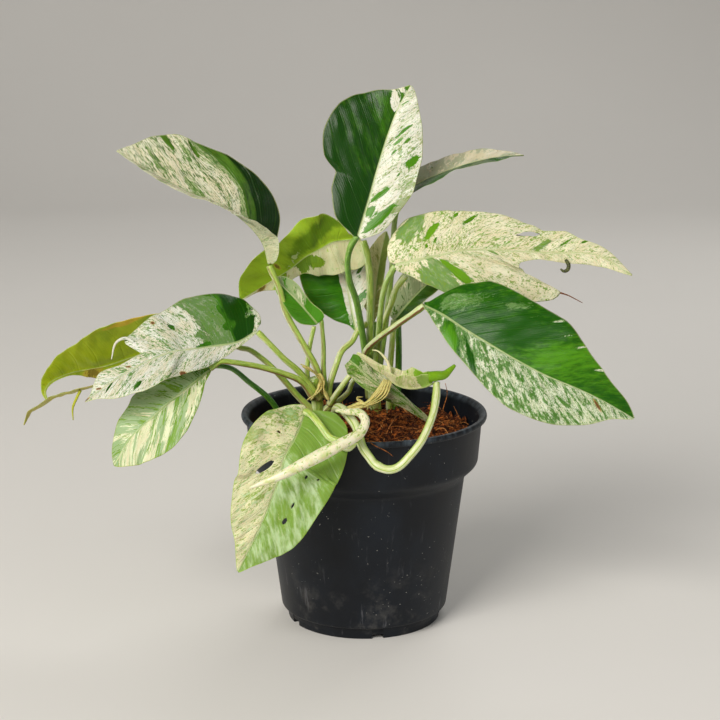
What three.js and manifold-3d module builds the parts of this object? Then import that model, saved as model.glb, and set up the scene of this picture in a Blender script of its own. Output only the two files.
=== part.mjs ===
// Marble dragon tail plant in a round plastic nursery pot.
// Millimetres, +Z up, the pot's axis on Z and its foot on z = 0. The plant is seen from -Y.
// Every leaf is one blade that follows a rib in space; stalks are grouped by the crown that they grow from.
import * as THREE from 'three';
import { mergeVertices } from 'three/addons/utils/BufferGeometryUtils.js';
import Module from 'manifold-3d';

const wasm = await Module();
wasm.setup();

// Pot
const POT_HEIGHT = 104;
const RIM_RADIUS = 60;
const COLLAR_RADIUS = 57.5;
const COLLAR_FOOT_Z = 79.5;
const BODY_TOP_Z = 73.5;
const BODY_TOP_RADIUS = 49.5;
const BODY_FOOT_Z = 6.2;
const BODY_FOOT_RADIUS = 40.8;
const FOOT_RADIUS = 37.6;
const WALL = 1.5;
const FLOOR = 2;
const NOTCH_COUNT = 5;
const NOTCH_WIDTH = 5.5;
const NOTCH_HEIGHT = 5;
const NOTCH_FIRST_DEGREES = -80;
const POT_SIDES = 48;

// Coir
const SOIL_Z = 92;
const SOIL_SIDES = 36;
const SOIL_BUMP = 1.6;
const FIBRE_RADIUS = 0.45;

// Plant
const GAP = 0.3;
const BLADE_HALF = 0.36;
const RIB_HALF = 0.4;
const CELLS_PER_HALF = 3;
const STALK_SIDES = 6;

// A leaf is written from its base to its tip, with t running from 0 to 1:
// rib     points of the midrib
// face    [t, x, y, z]        direction that the upper face looks in
// left    [t, mm]             half width to the left of the rib, seen on the upper face
// right   [t, mm]             half width to the right of it
// sweep   [t, left, right]    angle of the side veins forward of square, in degrees
// fold    [t, left, right]    rise of each half from the rib, in degrees
// curl    [t, left, right]    further rise from the rib out to the edge, in degrees
// wave    [mm, count, phase]  ripple of the edge
const LEAVES = {
  leaf_top: {
    rib: [[-3, 0, 190], [2, 4, 206], [6, 8, 220], [11, 11, 236], [16, 13, 249], [22, 12, 260]],
    face: [[0, 0, -0.95, 0.3], [1, 0, -0.95, 0.3]],
    left: [[0, 2], [0.03, 5], [0.1, 14], [0.2, 19], [0.28, 19], [0.34, 27], [0.45, 31], [0.6, 28],
      [0.7, 23], [0.8, 15], [0.9, 6], [1, 0.5]],
    right: [[0, 2], [0.03, 5], [0.1, 12], [0.2, 17], [0.3, 20], [0.45, 20], [0.6, 17], [0.75, 12],
      [0.9, 6], [1, 0.5]],
    sweep: [[0, -35, -35], [0.15, 5, 5], [0.5, 18, 15], [1, 5, 40]],
    fold: [[0, 20, 20], [1, 12, 12]],
    curl: [[0, -25, -25], [1, -30, -30]],
    wave: [0.8, 2.3, 0.1],
    colour: '#5f8f3c',
  },
  leaf_upper_right: {
    rib: [[18, 24, 206], [27, 24, 212], [38, 24, 217], [52, 23, 222], [66, 22, 225], [77, 20, 226]],
    face: [[0, -0.1, -0.15, 0.98], [1, 0.1, -0.15, 0.98]],
    left: [[0, 4], [0.1, 11], [0.3, 16], [0.5, 15], [0.8, 8], [1, 0.5]],
    right: [[0, 4], [0.1, 11], [0.3, 15], [0.5, 14], [0.8, 7], [1, 0.5]],
    sweep: [[0, -30, -30], [0.2, 10, 10], [1, 40, 40]],
    fold: [[0, 16, 12], [1, 8, 8]],
    curl: [[0, -5, -5], [1, -5, -5]],
    wave: [0.4, 2, 0],
    colour: '#9aa586',
  },
  leaf_upper_left: {
    rib: [[-46, 8, 175], [-48, 6, 184], [-52, 4, 191], [-60, 2, 199], [-69, 0, 205], [-85, -4, 212],
      [-102, -6, 222], [-116, -6, 231]],
    face: [[0, 0.1, -0.75, 0.6], [0.4, 0.1, -0.75, 0.6], [1, 0.1, -0.7, 0.7]],
    left: [[0, 4], [0.06, 12], [0.2, 17], [0.3, 19], [0.5, 17], [0.8, 10], [1, 0.5]],
    right: [[0, 1], [0.1, 4], [0.2, 8], [0.3, 15], [0.4, 20], [0.5, 23], [0.65, 27], [0.75, 26],
      [0.85, 19], [0.95, 7], [1, 0.5]],
    sweep: [[0, -60, -60], [0.2, -30, -20], [0.5, 10, 10], [1, 20, 20]],
    fold: [[0, 115, 20], [0.35, 85, 20], [0.5, 64, 20], [1, 50, 10]],
    curl: [[0, -20, 0], [1, -10, -20]],
    wave: [0.5, 2, 0.3],
    colour: '#a9b489',
  },
  leaf_back_centre: {
    rib: [[-2, 22, 185], [-14, 22, 184], [-21, 22, 180.5], [-29, 22, 176], [-36.5, 22, 170], [-44.5, 21, 165],
      [-60.5, 18, 155.5]],
    face: [[0, 0, 0.9, 0.4], [1, -0.2, 0.9, 0.4]],
    left: [[0, 1], [0.1, 5], [0.2, 14], [0.28, 20], [0.4, 23], [0.55, 19], [0.7, 19], [0.85, 21],
      [0.93, 16], [1, 1]],
    right: [[0, 4], [0.06, 15], [0.15, 18], [0.3, 16], [0.45, 13], [0.6, 6], [0.8, 6], [0.93, 2],
      [1, 0.5]],
    sweep: [[0, -45, -30], [0.3, -22, 5], [1, 10, 20]],
    fold: [[0, -10, -10], [1, -10, -10]],
    curl: [[0, 0, 0], [1, -10, -10]],
    wave: [1, 4, 0.2],
    colour: '#9dba3c',
  },
  leaf_centre: {
    rib: [[-4, 26, 138], [-6, 29, 147], [-8, 32, 157], [-10, 33, 166], [-12, 33, 176], [-13, 32, 184]],
    face: [[0, 0, -1, 0.1], [1, 0, -1, 0.3]],
    left: [[0, 0.5], [0.08, 3], [0.16, 10], [0.25, 17], [0.4, 22], [0.6, 23], [0.8, 16], [1, 0.5]],
    right: [[0, 0.5], [0.1, 2], [0.2, 6], [0.3, 10], [0.5, 12], [0.7, 11], [0.9, 5], [1, 0.5]],
    sweep: [[0, -20, -20], [0.2, 5, 5], [1, 30, 30]],
    fold: [[0, 10, 10], [1, 10, 20]],
    curl: [[0, -10, -10], [1, -10, -10]],
    wave: [0.4, 2, 0.5],
    colour: '#5d8a3e',
  },
  leaf_centre_left: {
    rib: [[-23, 14, 144], [-28, 14, 150], [-34, 13, 157], [-39, 13, 162], [-44, 14, 167]],
    face: [[0, 0.1, -0.85, 0.4], [1, 0.1, -0.85, 0.4]],
    left: [[0, 0.5], [0.08, 4], [0.2, 8], [0.35, 9], [0.6, 6.5], [0.8, 4], [1, 0.5]],
    right: [[0, 0.5], [0.03, 5], [0.1, 6], [0.3, 5], [0.6, 6.5], [0.8, 5], [1, 0.5]],
    sweep: [[0, -10, -10], [0.2, 10, 10], [1, 30, 30]],
    fold: [[0, 20, 25], [1, 20, 25]],
    curl: [[0, 0, 0], [1, 0, 0]],
    wave: [0, 1, 0],
    colour: '#5b8446',
  },
  leaf_back_upright: {
    rib: [[5, 41, 140], [6, 41, 155], [8, 40, 171], [11, 38, 186]],
    face: [[0, 0.2, 0.95, 0.1], [1, 0.1, 0.95, 0.2]],
    left: [[0, 0.5], [0.1, 2.5], [0.3, 4], [0.6, 4.5], [0.85, 4], [1, 0.5]],
    right: [[0, 0.5], [0.1, 4], [0.3, 9], [0.6, 9], [0.85, 5], [1, 0.5]],
    sweep: [[0, -10, -10], [0.2, 10, 10], [1, 35, 35]],
    fold: [[0, -25, -25], [1, -20, -20]],
    curl: [[0, -20, -20], [1, -10, -10]],
    wave: [0.4, 2, 0.2],
    colour: '#a5a06c',
  },
  leaf_right: {
    rib: [[15, -5, 177], [29, -3, 179.5], [41.5, 0, 181.5], [54, 3, 182.5], [77, 7, 181], [92.5, 9, 180],
      [112, 10, 179], [129.5, 8, 169.5]],
    face: [[0, 0, -0.93, 0.37], [1, 0.1, -0.9, 0.4]],
    left: [[0, 2.6], [0.03, 7.8], [0.06, 13], [0.1, 18.3], [0.15, 22.6], [0.25, 22.7], [0.35, 21],
      [0.45, 20.5], [0.55, 16.2], [0.62, 12.7], [0.7, 12.7], [0.8, 7.3], [0.9, 4.6], [1, 0.5]],
    right: [[0, 2], [0.06, 7], [0.1, 15], [0.15, 25], [0.2, 35.5], [0.25, 45], [0.3, 58], [0.33, 50],
      [0.36, 40], [0.4, 31.5], [0.44, 23.5], [0.48, 15.5], [0.53, 8], [0.6, 5.6], [0.7, 6.6], [0.8, 8.4],
      [0.9, 4.7], [1, 0.5]],
    sweep: [[0, -60, -30], [0.1, -20, 21], [0.15, -5, 28], [0.2, 0, 36], [0.25, 5, 49], [0.3, 10, 62],
      [0.36, 14, 63], [0.44, 19, 69], [0.53, 25, 53], [1, 30, 40]],
    fold: [[0, 0, 0], [1, 0, 0]],
    curl: [[0, -20, -20], [1, -10, -10]],
    wave: [0.6, 2.5, 0.4],
    slit: { t: 0.565, u: -0.67, length: 12.5, width: 2.2, turn: 112 },
    colour: '#dfe0b4',
  },
  leaf_lower_right: {
    rib: [[29, -5, 157], [37.5, -16, 154.5], [46.5, -22, 149.5], [58, -28, 143.5], [70, -32, 137],
      [84.5, -36, 130], [99.5, -38, 124], [111.5, -40, 118.5], [125, -42, 111]],
    face: [[0, 0.3, -0.93, 0.2], [1, 0.3, -0.93, 0.2]],
    left: [[0, 2], [0.03, 4], [0.06, 8], [0.1, 14], [0.15, 22], [0.2, 27], [0.3, 29], [0.5, 30], [0.6, 25],
      [0.7, 18], [0.8, 12], [0.9, 8], [1, 0.5]],
    right: [[0, 1], [0.06, 3], [0.1, 5], [0.2, 10], [0.3, 15], [0.4, 21], [0.5, 25], [0.6, 24], [0.7, 20],
      [0.8, 14], [0.9, 7], [1, 0.5]],
    sweep: [[0, -50, -30], [0.15, 0, 10], [0.5, 20, 30], [1, 45, 45]],
    fold: [[0, 10, 10], [1, 5, 5]],
    curl: [[0, -20, -10], [1, -10, -10]],
    wave: [0.5, 2, 0.1],
    colour: '#5c8a44',
  },
  leaf_back_right: {
    rib: [[15, 24, 144], [22, 26, 152], [29, 28, 159], [37, 30, 166], [44, 32, 171]],
    face: [[0, -0.1, -0.9, 0.4], [1, -0.1, -0.9, 0.4]],
    left: [[0, 0.5], [0.08, 6], [0.25, 11], [0.5, 13], [0.75, 9], [1, 0.5]],
    right: [[0, 0.5], [0.1, 4], [0.3, 6], [0.6, 7], [0.8, 6], [1, 0.5]],
    sweep: [[0, -30, -20], [0.2, 5, 5], [1, 35, 35]],
    fold: [[0, 15, 20], [1, 10, 15]],
    curl: [[0, 0, 0], [1, 0, 0]],
    wave: [0, 1, 0],
    colour: '#8a9c74',
  },
  leaf_left: {
    rib: [[-52, 0, 143.5], [-61, -5, 139], [-73, -10, 138], [-84, -15, 137.5], [-92, -19, 137],
      [-106, -24, 132], [-120, -28, 124], [-131, -30, 116]],
    face: [[0, -0.1, -0.75, 0.65], [1, -0.25, -0.7, 0.6]],
    left: [[0, 1], [0.1, 2], [0.15, 3], [0.2, 6], [0.3, 12], [0.4, 15], [0.5, 19], [0.6, 20], [0.7, 17],
      [0.8, 12], [0.9, 5], [1, 0.5]],
    right: [[0, 5], [0.03, 12], [0.06, 17], [0.1, 24], [0.15, 28], [0.22, 30], [0.3, 29], [0.4, 25],
      [0.5, 22], [0.6, 21], [0.63, 18], [0.65, 7], [0.74, 7], [0.8, 10], [0.86, 7], [0.95, 2], [1, 0.5]],
    sweep: [[0, -30, -60], [0.15, 10, -20], [0.3, 25, 5], [0.6, 40, 38], [1, 45, 50]],
    fold: [[0, 10, 10], [1, 10, 10]],
    curl: [[0, -30, -20], [1, -10, -10]],
    wave: [0.5, 2, 0.2],
    spurs: [
      { path: [[-109, -16.5, 141.5], [-113.5, -16.5, 143.5], [-118, -17.5, 141], [-120, -18, 133.5]], radius: 0.8 },
    ],
    colour: '#c3c9a0',
  },
  leaf_far_left: {
    rib: [[-70, 16, 135], [-86, 20, 134], [-107, 24, 128], [-129, 23, 121], [-145, 22, 118], [-155, 21, 114],
      [-159, 20, 109], [-158, 19, 104]],
    face: [[0, 0.1, 0.85, 0.5], [1, 0.1, 0.85, 0.5]],
    left: [[0, 3], [0.06, 14], [0.15, 22], [0.25, 26], [0.35, 28], [0.45, 24], [0.55, 17], [0.65, 10],
      [0.75, 5], [0.85, 2], [1, 0.5]],
    right: [[0, 1], [0.06, 6], [0.15, 11], [0.3, 12], [0.4, 9], [0.5, 5], [0.6, 1.5], [0.8, 1], [1, 0.5]],
    sweep: [[0, -30, -30], [0.3, 5, 5], [1, 20, 20]],
    fold: [[0, -10, -10], [1, -10, -10]],
    curl: [[0, 0, 0], [1, 0, 0]],
    wave: [0.3, 2, 0],
    colour: '#93a637',
  },
  leaf_low_left: {
    rib: [[-74, -12, 127], [-83, -18, 120.5], [-93, -21, 113], [-102, -23, 105], [-111, -25, 97],
      [-119, -27, 84]],
    face: [[0, -0.3, -0.85, 0.5], [1, -0.4, -0.85, 0.4]],
    left: [[0, 1], [0.1, 4], [0.15, 8], [0.2, 12], [0.25, 16], [0.3, 20], [0.4, 23], [0.5, 22], [0.6, 20],
      [0.7, 18], [0.8, 14], [0.9, 8], [1, 0.5]],
    right: [[0, 1], [0.06, 4], [0.1, 9], [0.15, 12], [0.2, 13], [0.3, 15], [0.5, 16], [0.6, 14], [0.7, 12],
      [0.8, 9], [0.9, 6], [1, 0.5]],
    sweep: [[0, -20, -60], [0.15, 15, -20], [0.4, 30, 5], [1, 45, 40]],
    fold: [[0, 10, 10], [1, 5, 5]],
    curl: [[0, -15, -15], [1, -10, -10]],
    wave: [0.4, 2, 0.4],
    colour: '#a3b878',
  },
  leaf_left_edge_on: {
    rib: [[-106, 16, 119], [-121, 15, 115], [-133, 14, 113], [-144, 14, 110], [-153, 14, 107],
      [-162, 14, 102], [-166, 14, 99], [-169, 14, 93]],
    face: [[0, 0, 0.1, 1], [1, -0.3, 0.1, 0.95]],
    left: [[0, 1], [0.1, 4], [0.4, 6], [0.7, 4.5], [0.9, 2], [1, 0.5]],
    right: [[0, 1], [0.1, 4], [0.4, 6], [0.7, 4.5], [0.9, 2], [1, 0.5]],
    sweep: [[0, 0, 0], [0.3, 20, 20], [1, 40, 40]],
    fold: [[0, 8, -14], [1, 8, -14]],
    curl: [[0, 0, 0], [1, 0, 0]],
    wave: [0, 1, 0],
    spurs: [{ path: [[-140, 12, 111], [-142, 11, 107], [-144, 11, 102], [-144, 11, 96]], radius: 0.8 }],
    colour: '#a9b573',
  },
  leaf_front: {
    rib: [[-27, -50, 116], [-31, -62, 108], [-36, -69, 100], [-38.5, -72, 91], [-45, -74, 74],
      [-51, -74, 60.5], [-57.5, -74, 47.5]],
    face: [[0, 0, -0.75, 0.66], [0.3, 0, -0.95, 0.3], [1, 0, -1, 0.05]],
    left: [[0, 2], [0.03, 4], [0.06, 9], [0.1, 18], [0.15, 23], [0.3, 27], [0.4, 26], [0.5, 24], [0.6, 22],
      [0.7, 18], [0.8, 12], [0.9, 6], [1, 0.5]],
    right: [[0, 3], [0.06, 9], [0.1, 12], [0.15, 15], [0.2, 18], [0.3, 20], [0.5, 20], [0.6, 18], [0.7, 14],
      [0.8, 9], [0.9, 5], [1, 0.5]],
    sweep: [[0, -75, -75], [0.12, -30, -30], [0.3, 5, 5], [0.6, 25, 25], [1, 40, 40]],
    fold: [[0, 15, 15], [1, 8, 8]],
    curl: [[0, -15, 10], [1, -10, -10]],
    wave: [0.6, 2, 0.3],
    slit: { t: 0.42, u: 0.39, length: 11, width: 3.4, turn: 50 },
    colour: '#b4c281',
  },
  leaf_marbled_young: {
    rib: [[36, 9, 89.5], [33, 6, 96], [27, 2, 102], [19, -4, 110], [11, -8, 116], [3, -10, 122], [-3, -10, 128],
      [-7, -9, 131]],
    face: [[0, 0.2, -0.8, 0.6], [1, -0.2, -0.9, 0.4]],
    left: [[0, 0.9], [0.12, 1], [0.4, 3.5], [0.65, 6], [0.85, 7], [0.95, 5.5], [1, 4]],
    right: [[0, 0.9], [0.12, 1], [0.4, 3.5], [0.65, 6], [0.85, 6.5], [0.95, 5], [1, 4]],
    sweep: [[0, 10, 10], [1, 10, 10]],
    fold: [[0, -25, -20], [1, -20, -15]],
    curl: [[0, 0, 0], [1, -30, -20]],
    wave: [0.7, 3, 0.2],
    colour: '#b3c08a',
  },
  leaf_curled: {
    rib: [[31.5, -43, 128], [27.5, -42, 126], [21, -41, 125], [15, -40, 126.5], [10.5, -39, 130],
      [4.5, -38, 134], [-3.5, -36, 140.5]],
    face: [[0, 0.2, -0.2, 1], [0.4, 0, -0.2, 1], [1, 0.5, -0.2, 0.9]],
    left: [[0, 5.5], [0.15, 7.5], [0.33, 9.5], [0.5, 7.5], [0.67, 5], [0.83, 3.5], [1, 0.5]],
    right: [[0, 5.5], [0.15, 7.5], [0.33, 9.5], [0.5, 7.5], [0.67, 5], [0.83, 3.5], [1, 0.5]],
    sweep: [[0, -30, -30], [0.2, -10, -10], [0.5, 10, 10], [1, 30, 30]],
    fold: [[0, 62, 62], [0.5, 58, 58], [1, 45, 45]],
    curl: [[0, 20, 20], [1, 0, 0]],
    wave: [0.5, 3, 0],
    spurs: [
      { path: [[29.5, -43.5, 131], [33.5, -43, 131.5], [37, -41, 131.5], [39.7, -39, 133.3], [42, -37, 135]],
        radius: 2.6 },
      { path: [[12, -41, 132], [11, -41, 137], [9, -40, 140], [6.3, -39, 142.3], [3.6, -38, 142.6]],
        radius: 0.8 },
    ],
    colour: '#b9d36a',
  },
};

// A stalk is a list of points from its foot to its end, and its radius at the foot and at the end.
const STALKS = {
  stalks_left: {
    colour: '#a9c07a',
    parts: [
      { path: [[-24, 18, 84], [-23, 15, 100], [-24, 13, 112], [-25, 12, 117]], r: [3.4, 2.6] },
      { path: [[-21, 13, 108], [-23, 12, 121], [-29, 11, 133], [-38, 10, 150], [-41, 9, 162], [-46, 8, 174]],
        r: [1.7, 1.4] },
      { path: [[-25, 13, 106], [-28, 13, 118], [-27, 13, 131], [-24.5, 13, 143]], r: [1.5, 1] },
      { path: [[-19, 13, 107], [-20, 14, 121], [-20, 15, 133], [-21, 15, 146]], r: [1.5, 1] },
      { path: [[-22, 11, 107], [-27, 8, 115], [-32, 6, 122], [-39, 3, 129], [-46, 1, 137], [-51.5, 0, 143]],
        r: [1.7, 1.4] },
      { path: [[-26, 15, 100], [-33, 13, 108], [-42, 12, 119], [-49, 12, 126], [-56, 13, 131], [-61, 14, 132],
        [-69, 16, 134.5]], r: [1.7, 1.3] },
      { path: [[-25, 10, 108], [-31, 6, 117], [-40, 2, 122], [-50, -2, 126], [-58, -6, 128.5], [-63, -9, 130],
        [-69, -12, 131], [-73.5, -12, 127.5]], r: [1.7, 1.3] },
      { path: [[-18, 14, 106], [-17, 15, 113], [-14, 17, 122], [-11, 20, 129], [-6, 24, 133], [-4, 26, 137.5]],
        r: [1.7, 1.4] },
      { path: [[-17, 12, 104], [-12, 5, 113], [-8, 4, 119]], r: [1.6, 1.5] },
      { path: [[-15, 14, 103], [-8, 11, 110], [-6, 10, 115]], r: [1.4, 1.2] },
      { path: [[-24, 17, 96], [-16, 14, 103], [-13, 12, 106]], r: [2.4, 1.4] },
    ],
  },
  stalk_side: {
    colour: '#3f5a2c',
    parts: [
      { path: [[-37, 28, 84], [-43, 21, 98], [-48, 18, 106], [-57, 16.5, 114], [-66, 17, 121], [-76, 17, 122],
        [-90, 17, 120], [-105, 16, 119]], r: [1.6, 1.1] },
    ],
  },
  stalks_right: {
    colour: '#7fa848',
    parts: [
      { path: [[6, 40, 84], [5, 37, 100], [3, 32, 116], [1, 28, 126]], r: [3.8, 2.6] },
      { path: [[3, 37, 101], [1, 30, 121], [0, 26, 131], [-2, 20, 145], [-4, 15, 156], [-7, 10, 166],
        [-8, 6, 176], [-6.5, 3, 184], [-3.4, 0, 189.6]], r: [1.9, 1.4] },
      { path: [[5, 38, 100], [4, 34, 114], [3, 30, 130], [3, 27, 146], [3, 24, 161], [2, 22, 174],
        [-0.5, 22, 184]], r: [2, 1.7] },
      { path: [[6, 37, 96], [6, 33, 108], [6, 27, 122], [7, 20, 133], [8, 10, 150], [10, 2, 165],
        [14.6, -4.6, 176]], r: [1.8, 1.4] },
      { path: [[2, 31, 117], [1, 22, 128], [6, 13, 136], [14, 5, 144], [23, -2, 152], [28.6, -4.8, 156.8]],
        r: [1.8, 1.5] },
      { path: [[6, 33, 110], [7, 29, 122], [8, 24, 136], [11, 19, 147], [14, 14, 156], [16, 10, 163],
        [20, 6, 169]], r: [1.7, 1.3] },
      { path: [[5, 38, 104], [5, 41, 120], [5, 41, 139.5]], r: [1.8, 1.3] },
      { path: [[7, 39, 110], [11, 37, 140], [14, 33, 170], [15, 28, 192], [17.6, 24, 205.6]], r: [1.7, 1.3] },
    ],
  },
  stalks_back: {
    colour: '#5f7d3a',
    parts: [
      { path: [[14, 45, 84], [13, 42, 93], [13, 38, 102], [13, 34, 115], [14, 28, 130], [14.8, 24.3, 143.6]],
        r: [1.9, 1.4] },
      { path: [[15.5, 45, 84], [16, 43, 92], [17, 41, 100], [17.5, 38, 114], [17.5, 34, 129], [17, 32, 144]],
        r: [2, 1.5] },
    ],
  },
  stem_loop: {
    colour: '#a9c765',
    parts: [
      { path: [[-14, 2, 86], [-14, -12, 101], [-13, -25, 111], [-10, -38, 114], [-7, -49, 113.5],
        [-4, -57, 111.5], [-2.5, -62, 108.5], [-1, -66, 104], [2, -68, 100], [5, -69, 96.5], [10, -70, 94.5],
        [15, -70, 95.5], [20, -69, 100], [26, -65.5, 107], [31, -57, 116], [33, -48.5, 123], [33.4, -43, 128]],
        r: [2.6, 1.6] },
      { path: [[-2.5, -62, 108], [-8, -66.5, 106], [-12, -67, 107], [-16, -65.5, 108.5], [-20, -62, 113],
        [-24, -57, 116.4], [-27, -51, 116.6]], r: [1.7, 1.6] },
      { path: [[-3, -61, 108], [-3, -67, 107.5], [-4, -70.5, 108.5]], r: [1.6, 1.2] },
      { path: [[-3, -62, 107], [-7, -66, 103.5], [-10, -67.5, 104.5]], r: [1.8, 1.6] },
    ],
  },
};

// The young leaf still rolled into a spear, and the dry sheaths at the crowns
const SPEAR_PATH = [[-13, -51, 117], [-7, -57, 118], [-2, -63, 119], [0.5, -68, 116.5], [-1.5, -72, 112.5],
  [-6, -75, 110], [-11, -77.5, 108], [-20, -81, 104], [-30, -84, 99.5], [-38, -86, 96], [-51, -87, 91]];
const SPEAR_RADII = [0.7, 1.6, 1.9, 2.1, 2.6, 2.8, 2.9, 2.7, 2.2, 1.7, 0.5];
const SHEATHS = {
  sheath_left: {
    colour: '#d3c46a',
    parts: [
      { path: [[-31, 4.5, 126], [-26, 6.5, 123], [-22.5, 8.5, 119], [-21.5, 9.5, 115], [-20.5, 9.5, 110]],
        r: [0.5, 1.1] },
      { path: [[-21.5, 9.2, 116], [-23.5, 6, 111], [-26, 4.5, 108]], r: [0.8, 0.6] },
    ],
  },
  sheath_right: {
    colour: '#cfc070',
    parts: [
      { path: [[10, -10.6, 122], [6, -11.6, 116], [1, -11.8, 111], [-4, -10.8, 109], [-10, -9, 106]],
        r: [0.8, 0.8] },
      { path: [[13, -10.2, 121], [10, -12.6, 114], [4, -12.8, 110], [0, -11.8, 110]], r: [0.7, 0.9] },
      { path: [[10, -10.6, 121.5], [11.5, -9.2, 120.5], [12.6, -9.6, 120]], r: [0.9, 0.9] },
    ],
  },
};

// Hole in the coir for the foot of the marbled young leaf
const YOUNG_LEAF_HOLE = { path: [[33, 6, 98], [34.4, 7.2, 93.5], [36.3, 9.3, 88.5]], r: [2, 2] };

// Fibres that stand out of the coir or lie over the rim
const FIBRES = [
  [[1, -38, 90], [0, -48, 101], [1, -58, 105.6], [4, -62.5, 104], [10, -63, 101], [13, -62.5, 98.5]],
  [[40, 30, 89], [40, 31, 96], [42, 31, 104], [41, 31, 110]],
  [[46, 22, 89], [47, 22, 95], [45, 23, 100]],
  [[8, -20, 90], [12, -5, 96], [16, 8, 99]],
  [[22, -18, 90], [26, -10, 96], [30, -6, 95]],
  [[-6, -24, 90], [2, -28, 96], [10, -26, 93]],
  [[30, 2, 90], [38, -4, 96], [42, -12, 93]],
  [[-30, -20, 90], [-36, -10, 96], [-44, -4, 92]],
  [[-30, 34, 90], [-22, 38, 97], [-12, 44, 94]],
  [[26, 36, 90], [20, 30, 97], [24, 22, 94]],
];

const toRadians = THREE.MathUtils.degToRad;

function curveThrough(points) {
  return new THREE.CatmullRomCurve3(points.map((p) => new THREE.Vector3(...p)), false, 'catmullrom', 0.5);
}

// Value between two neighbouring keys, in a straight line
function keyed(keys, t, column) {
  let i = 0;
  while (i < keys.length - 2 && t > keys[i + 1][0]) i += 1;
  const [a, b] = [keys[i], keys[i + 1]];
  const f = THREE.MathUtils.clamp((t - a[0]) / (b[0] - a[0]), 0, 1);
  return a[column] + (b[column] - a[column]) * f;
}

// Half width through its keys on a cubic that never overshoots them
function halfWidth(keys, t) {
  const n = keys.length;
  const slopes = keys.slice(1).map((k, i) => (k[1] - keys[i][1]) / (k[0] - keys[i][0]));
  const tangent = (i) => {
    if (i === 0) return slopes[0] * 1.4;
    if (i === n - 1) return slopes[n - 2] * 1.2;
    const [a, b] = [slopes[i - 1], slopes[i]];
    return a * b > 0 ? (2 * a * b) / (a + b) : 0;
  };
  let i = 0;
  while (i < n - 2 && t >= keys[i + 1][0]) i += 1;
  const h = keys[i + 1][0] - keys[i][0];
  const f = THREE.MathUtils.clamp((t - keys[i][0]) / h, 0, 1);
  const f2 = f * f;
  const f3 = f2 * f;
  const w = keys[i][1] * (2 * f3 - 3 * f2 + 1) + keys[i + 1][1] * (3 * f2 - 2 * f3)
    + h * (tangent(i) * (f3 - 2 * f2 + f) + tangent(i + 1) * (f3 - f2));
  return Math.max(w, 0.2);
}

// Point of a blade at t along the rib and u across it, from -1 at the left edge to 1 at the right edge
function bladePoint(leaf, rib, t, u) {
  const step = 1e-3;
  const point = rib.getPoint(t);
  const tangent = rib.getPoint(Math.min(t + step, 1)).sub(rib.getPoint(Math.max(t - step, 0))).normalize();
  const face = new THREE.Vector3(keyed(leaf.face, t, 1), keyed(leaf.face, t, 2), keyed(leaf.face, t, 3));
  face.addScaledVector(tangent, -face.dot(tangent)).normalize();
  const side = new THREE.Vector3().crossVectors(tangent, face);
  const column = u < 0 ? 1 : 2;
  const a = Math.abs(u);
  const reach = a * halfWidth(u < 0 ? leaf.left : leaf.right, t);
  const sweep = toRadians(keyed(leaf.sweep, t, column));
  const rise = toRadians(keyed(leaf.fold, t, column) + (keyed(leaf.curl, t, column) * a) / 2);
  const out = side.multiplyScalar(Math.sign(u) * Math.cos(sweep)).addScaledVector(tangent, Math.sin(sweep));
  point.addScaledVector(out, reach * Math.cos(rise));
  const [height, count, phase] = leaf.wave;
  const ripple = height * a * a * Math.sin(2 * Math.PI * (count * t + phase + (u > 0 ? 0.37 : 0)));
  return point.addScaledVector(face, reach * Math.sin(rise) + ripple);
}

function geometryOf(positions, indices) {
  const geometry = new THREE.BufferGeometry();
  geometry.setAttribute('position', new THREE.Float32BufferAttribute(positions, 3));
  geometry.setIndex(indices);
  return geometry;
}

// Closed skin over rings of equal length, with a fan at each end
function skin(rings) {
  const positions = [];
  const indices = [];
  const n = rings[0].length;
  rings.flat().forEach((p) => positions.push(p.x, p.y, p.z));
  for (let i = 0; i < rings.length - 1; i += 1) {
    for (let j = 0; j < n; j += 1) {
      const a = i * n + j;
      const b = i * n + ((j + 1) % n);
      indices.push(a, b, b + n, a, b + n, a + n);
    }
  }
  const last = (rings.length - 1) * n;
  for (let j = 1; j < n - 1; j += 1) {
    indices.push(0, j + 1, j);
    indices.push(last, last + j, last + j + 1);
  }
  return geometryOf(positions, indices);
}

// Round stalk along a curve, its radius running through the given values
function stalkGeometry(points, radii, sides, grow = 0) {
  const curve = curveThrough(points);
  const steps = (points.length - 1) * 2;
  const frames = curve.computeFrenetFrames(steps, false);
  const rings = [];
  for (let i = 0; i <= steps; i += 1) {
    const s = i / steps;
    const at = curve.getPointAt(s);
    const k = s * (radii.length - 1);
    const lower = Math.min(Math.floor(k), radii.length - 2);
    const radius = radii[lower] + (radii[lower + 1] - radii[lower]) * (k - lower) + grow;
    const ring = [];
    for (let j = 0; j < sides; j += 1) {
      const angle = (2 * Math.PI * j) / sides;
      ring.push(at.clone()
        .addScaledVector(frames.normals[i], radius * Math.cos(angle))
        .addScaledVector(frames.binormals[i], radius * Math.sin(angle)));
    }
    rings.push(ring);
  }
  return skin(rings);
}

function solidOf(geometry) {
  const bare = geometry.clone();
  bare.deleteAttribute('normal');
  bare.deleteAttribute('uv');
  const merged = mergeVertices(bare, 1e-4);
  const mesh = new wasm.Mesh({
    numProp: 3,
    vertProperties: Float32Array.from(merged.attributes.position.array),
    triVerts: Uint32Array.from(merged.index.array),
  });
  return new wasm.Manifold(mesh);
}

function geometryFrom(solid) {
  const mesh = solid.getMesh();
  const geometry = geometryOf(Array.from(mesh.vertProperties), Array.from(mesh.triVerts));
  geometry.computeVertexNormals();
  return geometry;
}

function joined(geometries) {
  return geometries.map(solidOf).reduce((whole, piece) => whole.add(piece));
}

function stalksSolid(group, grow = 0) {
  return joined(group.parts.map((s) => stalkGeometry(s.path, s.r, STALK_SIDES, grow)));
}

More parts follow.
